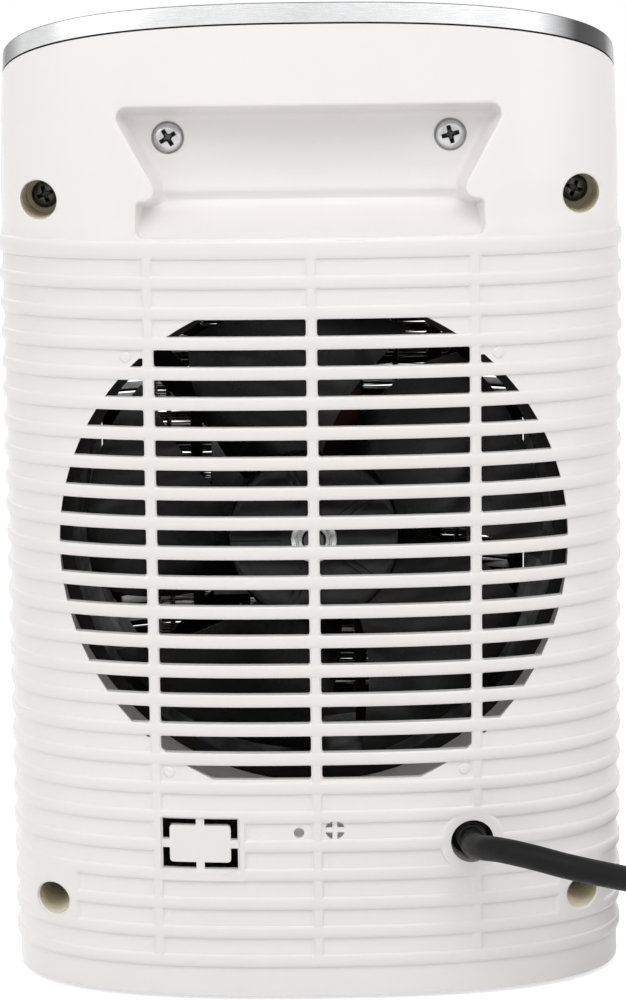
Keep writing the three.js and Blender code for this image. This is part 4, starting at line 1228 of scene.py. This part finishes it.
PANEL_RISE = 4.1
PANEL_PROFILE = [
    (3.4, 1.8), (2.7, 2.1), (2.7, 3.6), (2.85, 3.95), (3.2, PANEL_RISE), (6.0, PANEL_RISE),
    (8.5, PANEL_RISE), (9.3, 3.75), (10.2, 3.6), (14.0, 3.6), (40.0, 3.6),
]
CONTROL_X = 36.0
CONTROL_Y = -12.0
LENS_Y = -46.0


def on_panel(x, y, z=0.0):
    """The place on the tilted panel's face, with local Z square to it."""
    return (Matrix.Translation((x, y + PLAN_Y, ring_z(PANEL_RISE, y)))
            @ Matrix.Rotation(RING_TILT, 4, "X") @ Matrix.Translation((0, 0, z)))


def make_panel():
    rings = [[slanted(angle, inset, rise) for angle in turns(AROUND, 0.5)]
             for inset, rise in PANEL_PROFILE]
    holes = ((-CONTROL_X, CONTROL_Y, 5.3), (CONTROL_X, CONTROL_Y, 5.3), (0, LENS_Y, 3.7))
    panel = boolean(as_object("top_panel_fine", loft(rings)), [
        moved(rod(radius, -20, 20, 48), IN_BODY.inverted() @ on_panel(x, y))
        for x, y, radius in holes
    ], "DIFFERENCE")
    finish_piece(panel, WHITE_GLOSS, "shell_gloss", ["top_panel"], sharp=30)


make_panel()

FLUTES = 30
FLUTE_DEPTH = 0.45


def knob_shape():
    """A skirt with a bevelled rim and a fluted grip."""
    profile = [
        (0, 4.2), (12.0, 4.2), (13.5, 3.0), (15.9, 2.3), (16.6, 2.2), (16.95, 2.4), (17.0, 2.9),
        (16.9, 4.6), (16.6, 5.6), (16.0, 6.2), (14.6, 6.5), (13.9, 6.9), (13.75, 7.6),
        (13.6, 9.0), (13.35, 11.5), (13.1, 14.4), (12.95, 15.4), (12.6, 16.4), (11.9, 17.0),
        (10.9, 17.2), (9.6, 17.1), (8.8, 16.8), (0, 16.6),
    ]

    def flute(radius, height, angle):
        if radius < 12.4:
            return radius
        depth = FLUTE_DEPTH * smooth((height - 7.2) / 1.2) * (1 - smooth((height - 15.2) / 1.4))
        return radius - depth * (0.5 - 0.5 * cos(FLUTES * angle))

    return lathe(profile, FLUTES * 6, flute)


def number_object(name, text):
    """A plain number as a thin plate."""
    curve = bpy.data.curves.new(name, "FONT")
    curve.body = text
    curve.size = 4.2
    curve.align_x = curve.align_y = "CENTER"
    curve.extrude = 0.03
    text_object = new_object("number", curve)
    bpy.context.view_layer.update()
    mesh = evaluated_mesh(text_object)
    bpy.data.objects.remove(text_object)
    return new_object(name, mesh)


def dial_marks(name, place, first, last, count, labels):
    """Short printed lines and plain numbers round a knob, a hair above the panel."""
    line_start, number_radius = 19.2, 25.2
    angles = [radians(90 - (first + (last - first) * k / (count - 1))) for k in range(count)]
    lines = []
    for k, angle in enumerate(angles):
        length = 3.0 if k in labels else 1.8
        line = box(line_start, line_start + length, -0.28, 0.28, 0.0, 0.06)
        lines.append(moved(line, Matrix.Rotation(angle, 4, "Z")))
    piece(name, merged(lines), INK, "knob_black", matrix=place)
    for k, text in labels.items():
        x, y = number_radius * cos(angles[k]), number_radius * sin(angles[k])
        finish_piece(number_object(f"{name}_{text}", text), INK, "knob_black",
                     matrix=place @ Matrix.Translation((x, y, 0.03)))


CONTROLS = (
    ("thermostat", -CONTROL_X, -135, 135, 13, {0: "0", 4: "2", 8: "4", 12: "6"}),
    ("selector", CONTROL_X, 0, 135, 4, {0: "0", 1: "1", 2: "2", 3: "3"}),
)
POINTER_OUTLINE = [(-0.7, 3.5, 0.3), (0.7, 3.5, 0.3), (0.7, 12.2, 0.5), (-0.7, 12.2, 0.5)]
BUSH_NUT = [(5.1, -0.6), (7.4, -0.6), (7.4, 1.0), (7.0, 1.5), (5.1, 1.5)]
for control, x, first, last, count, labels in CONTROLS:
    place = on_panel(x, CONTROL_Y)
    piece(f"{control}_knob_fine", knob_shape(), KNOB, "knob_black", [f"{control}_knob"],
          body=control, sharp=40, matrix=place)
    line = rounded(POINTER_OUTLINE, 4)
    bar = loft([[(px, py, z) for px, py in line] for z in (16.4, 17.55)])
    piece(f"{control}_pointer", bar, POINTER, "knob_black", body=control, matrix=place)
    dial_marks(f"{control}_marks", on_panel(x, CONTROL_Y, -0.47), first, last, count, labels)
    piece(f"{control}_bush_nut", tube_ring(BUSH_NUT), STEEL, "steel", matrix=place)

AT_LENS = on_panel(0, LENS_Y)
LENS = [(0, -6.8), (3.35, -6.8), (3.35, 0.1), (3.2, 0.6), (2.8, 1.1), (2.1, 1.5), (1.1, 1.72),
        (0, 1.8)]
BEZEL = [(3.65, -0.9), (5.6, -0.9), (5.6, 0.1), (5.2, 0.55), (4.1, 0.6), (3.65, 0.3)]
piece("indicator_lens_fine", lathe(LENS, 40), AMBER, "lens_amber", ["indicator_lens"],
      matrix=AT_LENS)
piece("indicator_bezel", tube_ring(BEZEL), BRIGHT_STEEL, "steel", matrix=AT_LENS)

# -------- base plate and feet

FEET = {"front_left": (-58, -38), "front_right": (58, -38), "rear_left": (-58, 22),
        "rear_right": (58, 22)}
FOOT_PROFILE = [
    (0, 0.35), (2.2, 0.35), (2.8, 0.0), (6.4, 0.0), (6.85, 0.12), (7.0, 0.45), (6.9, 0.9),
    (6.5, 1.2), (2.2, 1.2), (2.2, 6.2), (1.8, 6.5), (0, 6.5),
]
THROUGH_BASE = (0, 9)


def make_base():
    """A plate inside the shells, with a hole for each foot and two columns of slots."""
    rings = [[(*plan_point(angle, inset), z) for angle in turns(AROUND, 0.5)]
             for inset, z in ((3.0, 1.5), (2.5, 1.9), (2.5, 4.0))]
    holes = [shifted(rod(2.5, *THROUGH_BASE, 24), x, y) for x, y in FEET.values()]
    for row in range(7):
        y = -24 + 8 * row
        for x0, x1 in ((-38, -4), (4, 38)):
            slot = rounded_box(x0, x1, y - 1.4, y + 1.4, 1.3, 4)
            holes.append(loft([[(px, py, z) for px, py in slot] for z in THROUGH_BASE]))
    base = boolean(as_object("base_plate_fine", loft(rings)), [merged(holes)], "DIFFERENCE")
    finish_piece(base, BLACK, "black_plastic", ["base_plate"], sharp=30)


make_base()
for name, (x, y) in FEET.items():
    piece(f"foot_{name}_fine", shifted(lathe(FOOT_PROFILE, 40), x, y), RUBBER, "rubber_black",
          [f"foot_{name}"])

# -------- screws

SHANK = 1.9


def screw_shape(name, head, height, length, turn):
    """A pan-head screw with a cross recess, driven along -Y, its head's underside at y = 0."""
    profile = [(0, -length), (SHANK / 2, -length), (SHANK, 2.0 - length), (SHANK, 0.0),
               (head - 0.2, 0.0), (head, 0.25)]
    profile += [(head * across, height * up) for across, up in (
        (1, 0.42), (0.96, 0.6), (0.85, 0.8), (0.66, 0.93), (0.4, 1), (0, 1))]
    screw = as_object(name, moved(lathe(profile), ALONG_Y))

    def arm_end(x, y, z):
        return [(-x, y, -z), (x, y, -z), (x, y, z), (-x, y, z)]

    arm = loft([arm_end(head * 0.315, height * 0.2, head * 0.0756),
                arm_end(head * 0.7, height + 0.4, head * 0.1674)])
    cross = [moved(arm, Matrix.Rotation(turn + angle, 4, "Y")) for angle in (0.0, pi / 2)]
    hub = bar_y(head * 0.16, height * 0.1, height + 0.5, sides=12, end_radius=head * 0.3)
    return boolean(screw, [*cross, hub], "DIFFERENCE")


def add_screw(node, finish, head, height, length, turn, place):
    """A screw in place, with the inside of its cross recess darkened as painted shade."""
    screw = screw_shape(f"{node}_fine", head, height, length, turn)
    inner = {face.index for face in screw.data.polygons
             if hypot(face.center.x, face.center.z) < head * 0.72
             and height * 0.05 < face.center.y < height * 0.88}
    finish_piece(screw, finish, "steel", [node], sharp=35, matrix=Matrix.Translation(place))
    # Painted shade: the inside of the cross recess gets the darker steel.
    paint(screw, RECESS_SHADE_STEEL, lambda face: face.index in inner)


for side, side_name, turn in ((-1, "left", 0.25), (1, "right", 0.55)):
    for (x, z, _), name in zip(WELLS, ("top", "bottom")):
        add_screw(f"corner_screw_{name}_{side_name}", DARK_STEEL, 4.0, 2.4, 15.0, 0.35 * side,
                  (side * x, WELL_FLOOR_Y + GAP + PLAN_Y, z))
    add_screw(f"recess_screw_{side_name}", STEEL, 4.15, 2.6, 12.0, turn,
              (side * RECESS_SCREW[0], SEAT_Y + GAP + PLAN_Y, RECESS_SCREW[1]))

# -------- fan

IMPELLER = {"front": 9.5, "rear": 31.0, "hub": 25.0, "tip": 66.5, "blades": 5}
BLADE_SWEEP = radians(60)
BLADE_SKEW = 0.36
BLADE_CAMBER = 1.4
BLADE_THICK = 1.6
FIRST_BLADE = -0.113


def blade(turn):
    """A broad blade that climbs from the hub's front to its rear as it goes round."""
    rows, steps, rings = 10, 14, []
    front, rear, start = IMPELLER["front"] + 2, IMPELLER["rear"] - 2, IMPELLER["hub"] - 1.5
    for row in range(rows + 1):
        part = row / rows
        radius = start + (IMPELLER["tip"] - start) * part
        sweep = BLADE_SWEEP * (1 - 0.05 * smooth((part - 0.8) / 0.2))
        upper, lower = [], []
        for k in range(steps + 1):
            along = k / steps
            angle = turn + BLADE_SKEW * part + sweep * (along - 0.5)
            y = front + (rear - front) * along - BLADE_CAMBER * sin(pi * along)
            thick = BLADE_THICK / 2 * (0.45 + 0.55 * sin(pi * clamp(along, 0.06, 0.94)))
            x, z = radius * cos(angle), radius * sin(angle)
            upper.append((x, y + thick, z))
            lower.append((x, y - thick, z))
        rings.append(upper + lower[::-1])
    return loft(rings)


def make_impeller():
    """A cupped hub with its blades, and a pair of short ridges for each blade on its rear."""
    front, rear, hub = IMPELLER["front"], IMPELLER["rear"], IMPELLER["hub"]
    profile = [(0, front + 2.5), (hub - 2, front + 2.5), (hub - 2, front), (hub - 0.3, front),
               (hub, front + 0.4), (hub, rear - 2.2), (hub - 0.5, rear - 1.0),
               (hub - 1.4, rear - 0.3), (hub - 2.4, rear - 0.1), (9.0, rear - 0.1),
               (0, rear - 0.1)]
    impeller = as_object("fan_impeller_fine", moved(lathe(profile, 80), ALONG_Y))
    around = turns(IMPELLER["blades"])
    parts = [blade(FIRST_BLADE + angle) for angle in around]
    for angle in around:
        for off in (-0.95, 0.95):
            ridge = box(9.6, 24.0, rear - 1.0, rear + 0.75, off - 0.32, off + 0.32)
            parts.append(moved(ridge, Matrix.Rotation(angle, 4, "Y")))
    boolean(impeller, parts, "UNION")
    boolean(impeller, [bar_y(3.3, 0, 50, sides=32)], "DIFFERENCE")
    finish_piece(impeller, BLACK_GLOSS, "black_plastic", ["fan_impeller"], "fan", 30, IN_FAN)


make_impeller()
NUT = [
    (3.3, 31.3), (6.6, 31.3), (6.75, 31.5), (6.75, 33.2), (6.5, 33.6), (5.3, 33.7), (5.1, 33.4),
    (4.9, 33.4), (4.7, 34.3), (4.4, 34.6), (3.5, 34.6), (3.3, 34.4),
]
piece("fan_nut_fine", moved(tube_ring(NUT), ALONG_Y), BRIGHT_STEEL, "steel", ["fan_nut"],
      body="fan", matrix=IN_FAN)

# -------- heater winding

BOARD_FRONT, BOARD_REAR = -42.0, -29.5
FRAME_RADIUS = 69.2
WIRE_RADIUS, BEND_RADIUS = 0.17, 0.32
WIRE_PITCH = 0.8
WIRE_WAVE = 0.13
WOUND_HALF = 58
STRIPS = [(-47.9, -39.5), (-35.5, -26.3), (-25.2, -15.6), (-12.0, -2.2), (9.0, 19.5),
          (22.8, 33.4), (37.4, 48.0)]


def winding():
    """A fine wavy wire wound round the boards, thicker where it bends at a strip's edge."""
    points, radii = [], []
    for turn in range(int(2 * WOUND_HALF / WIRE_PITCH)):
        z = -WOUND_HALF + WIRE_PITCH * turn
        half = sqrt(max((FRAME_RADIUS - 0.8) ** 2 - z * z, 0)) - 1.0
        for y, direction, lift in ((BOARD_REAR + 0.9, 1, 0.0), (BOARD_FRONT - 0.9, -1, 0.5)):
            line = []
            for k, (left, right) in enumerate(STRIPS):
                left, right = max(left, -half), min(right, half)
                if right - left < 2:
                    continue
                wave = WIRE_WAVE * (-1) ** (turn + k)
                for part in (0.0, 0.06, 0.35, 0.65, 0.94, 1.0):
                    bend = part in (0.0, 1.0)
                    line.append((left + (right - left) * part, 0.0 if bend else wave * (1 - 2 * part),
                                 BEND_RADIUS if bend else WIRE_RADIUS))
            for x, off, radius in line[::direction]:
                points.append((x, y, z + WIRE_PITCH * lift + off))
                radii.append(radius)
    return points, radii


piece("heater_winding", sweep_tube(*winding(), 4), NICHROME, "nichrome", ["heater_wire"],
      sharp=60, matrix=IN_FAN)
for number, ((_, left), (right, _)) in enumerate(zip(STRIPS, STRIPS[1:]), 1):
    half = sqrt(FRAME_RADIUS ** 2 - max(abs(left), abs(right)) ** 2)
    post = box(left + 0.25, right - 0.25, BOARD_REAR + 0.4, BOARD_REAR + 2.0, -half, half)
    piece(f"heater_divider_{number}", post, MICA, "mica", matrix=IN_FAN)

# -------- looks of the carried-over nodes

LOOKS = {
    BLACK: ["fan_duct"],
    STEEL: ["thermal_fuse", "thermostat_spindle", "selector_spindle"],
    BLACK_STEEL: ["motor_rear_bracket", "motor_front_bracket", "motor_mount", "heater_frame"],
    DARK_STEEL: ["motor_core", "motor_rotor", "motor_screw_left", "motor_screw_right"],
    COPPER: ["motor_coil"],
    BRONZE: ["motor_rear_bearing", "motor_front_bearing"],
    MICA: [f"mica_board_{k}" for k in range(1, 5)],
    CERAMIC: ["terminal_block", "thermal_cutout", "thermostat_body"],
    PHENOLIC: ["selector_body"],
}
for finish, nodes in LOOKS.items():
    for node in nodes:
        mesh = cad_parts[node].data
        mesh.materials.clear()
        mesh.materials.append(finish)

# -------- floor, background and light

WHITE = (1, 1, 1, 1)
FLOOR_SHADE = (0.78, 0.78, 0.78, 1)
FLOOR_GLOW = 0.66
FLOOR_HALF = 6  # in metres, unlike the pieces


def make_floor():
    """A white floor that keeps the shadow, and shows white to the camera and to reflections."""
    material = bpy.data.materials.new("studio_floor")
    nodes = Nodes(material)
    nodes.tree.nodes.clear()
    path = nodes.add("LightPath").outputs
    seen = nodes.reckon("ADD", path["Is Camera Ray"], path["Is Glossy Ray"])
    glow = nodes.add("Emission", {"Color": WHITE,
                                  "Strength": nodes.reckon("MULTIPLY", seen, FLOOR_GLOW)})
    diffuse = nodes.add("BsdfDiffuse", {"Color": FLOOR_SHADE})
    both = nodes.add("AddShader", {0: diffuse.outputs[0], 1: glow.outputs[0]})
    nodes.add("OutputMaterial", {"Surface": both.outputs[0]})
    reach = FLOOR_HALF
    corners = [(-reach, -reach, 0), (reach, -reach, 0), (reach, reach, 0), (-reach, reach, 0)]
    floor = as_object("floor", (corners, [(0, 1, 2, 3)]))
    floor.data.materials.append(material)


def make_world(horizon, zenith):
    """White to the camera and to reflections; to the rest a soft sky that is dimmer above."""
    world = bpy.data.worlds.new("studio")
    bpy.context.scene.world = world
    nodes = Nodes(world)
    path = nodes.add("LightPath").outputs
    seen = nodes.reckon("MAXIMUM", path["Is Camera Ray"], path["Is Glossy Ray"])
    seen = nodes.reckon("MAXIMUM", seen, path["Is Transmission Ray"])
    place = nodes.add("TexCoord").outputs["Generated"]
    height = nodes.add("SeparateXYZ", {"Vector": place}).outputs["Z"]
    sky = nodes.spread(height, 0.0, 1.0, horizon, zenith)
    nodes.feed(nodes.tree.nodes["Background"],
               {"Strength": 1.0, "Color": nodes.mix(seen, sky, WHITE)})


def area_light(name, place, aim, size, watts):
    data = bpy.data.lights.new(name, "AREA")
    data.shape = "RECTANGLE"
    data.size, data.size_y = size
    data.energy = watts
    light = new_object(name, data)
    direction = Vector(aim) - Vector(place)
    light.rotation_euler = direction.to_track_quat("-Z", "Y").to_euler()
    light.location = place


make_floor()
make_world(0.7, 0.46)
area_light("key", (-0.25, 1.3, 1.75), (0, 0, 0.2), (1.6, 1.2), 14)
area_light("fill", (1.2, 1.0, 1.1), (0, 0, 0.26), (1.2, 1.4), 6)
area_light("side", (-1.4, 0.8, 0.7), (0, 0, 0.12), (1.0, 1.2), 2.6)
area_light("front", (0.6, -1.6, 1.5), (0, 0, 0.15), (1.6, 1.4), 16)
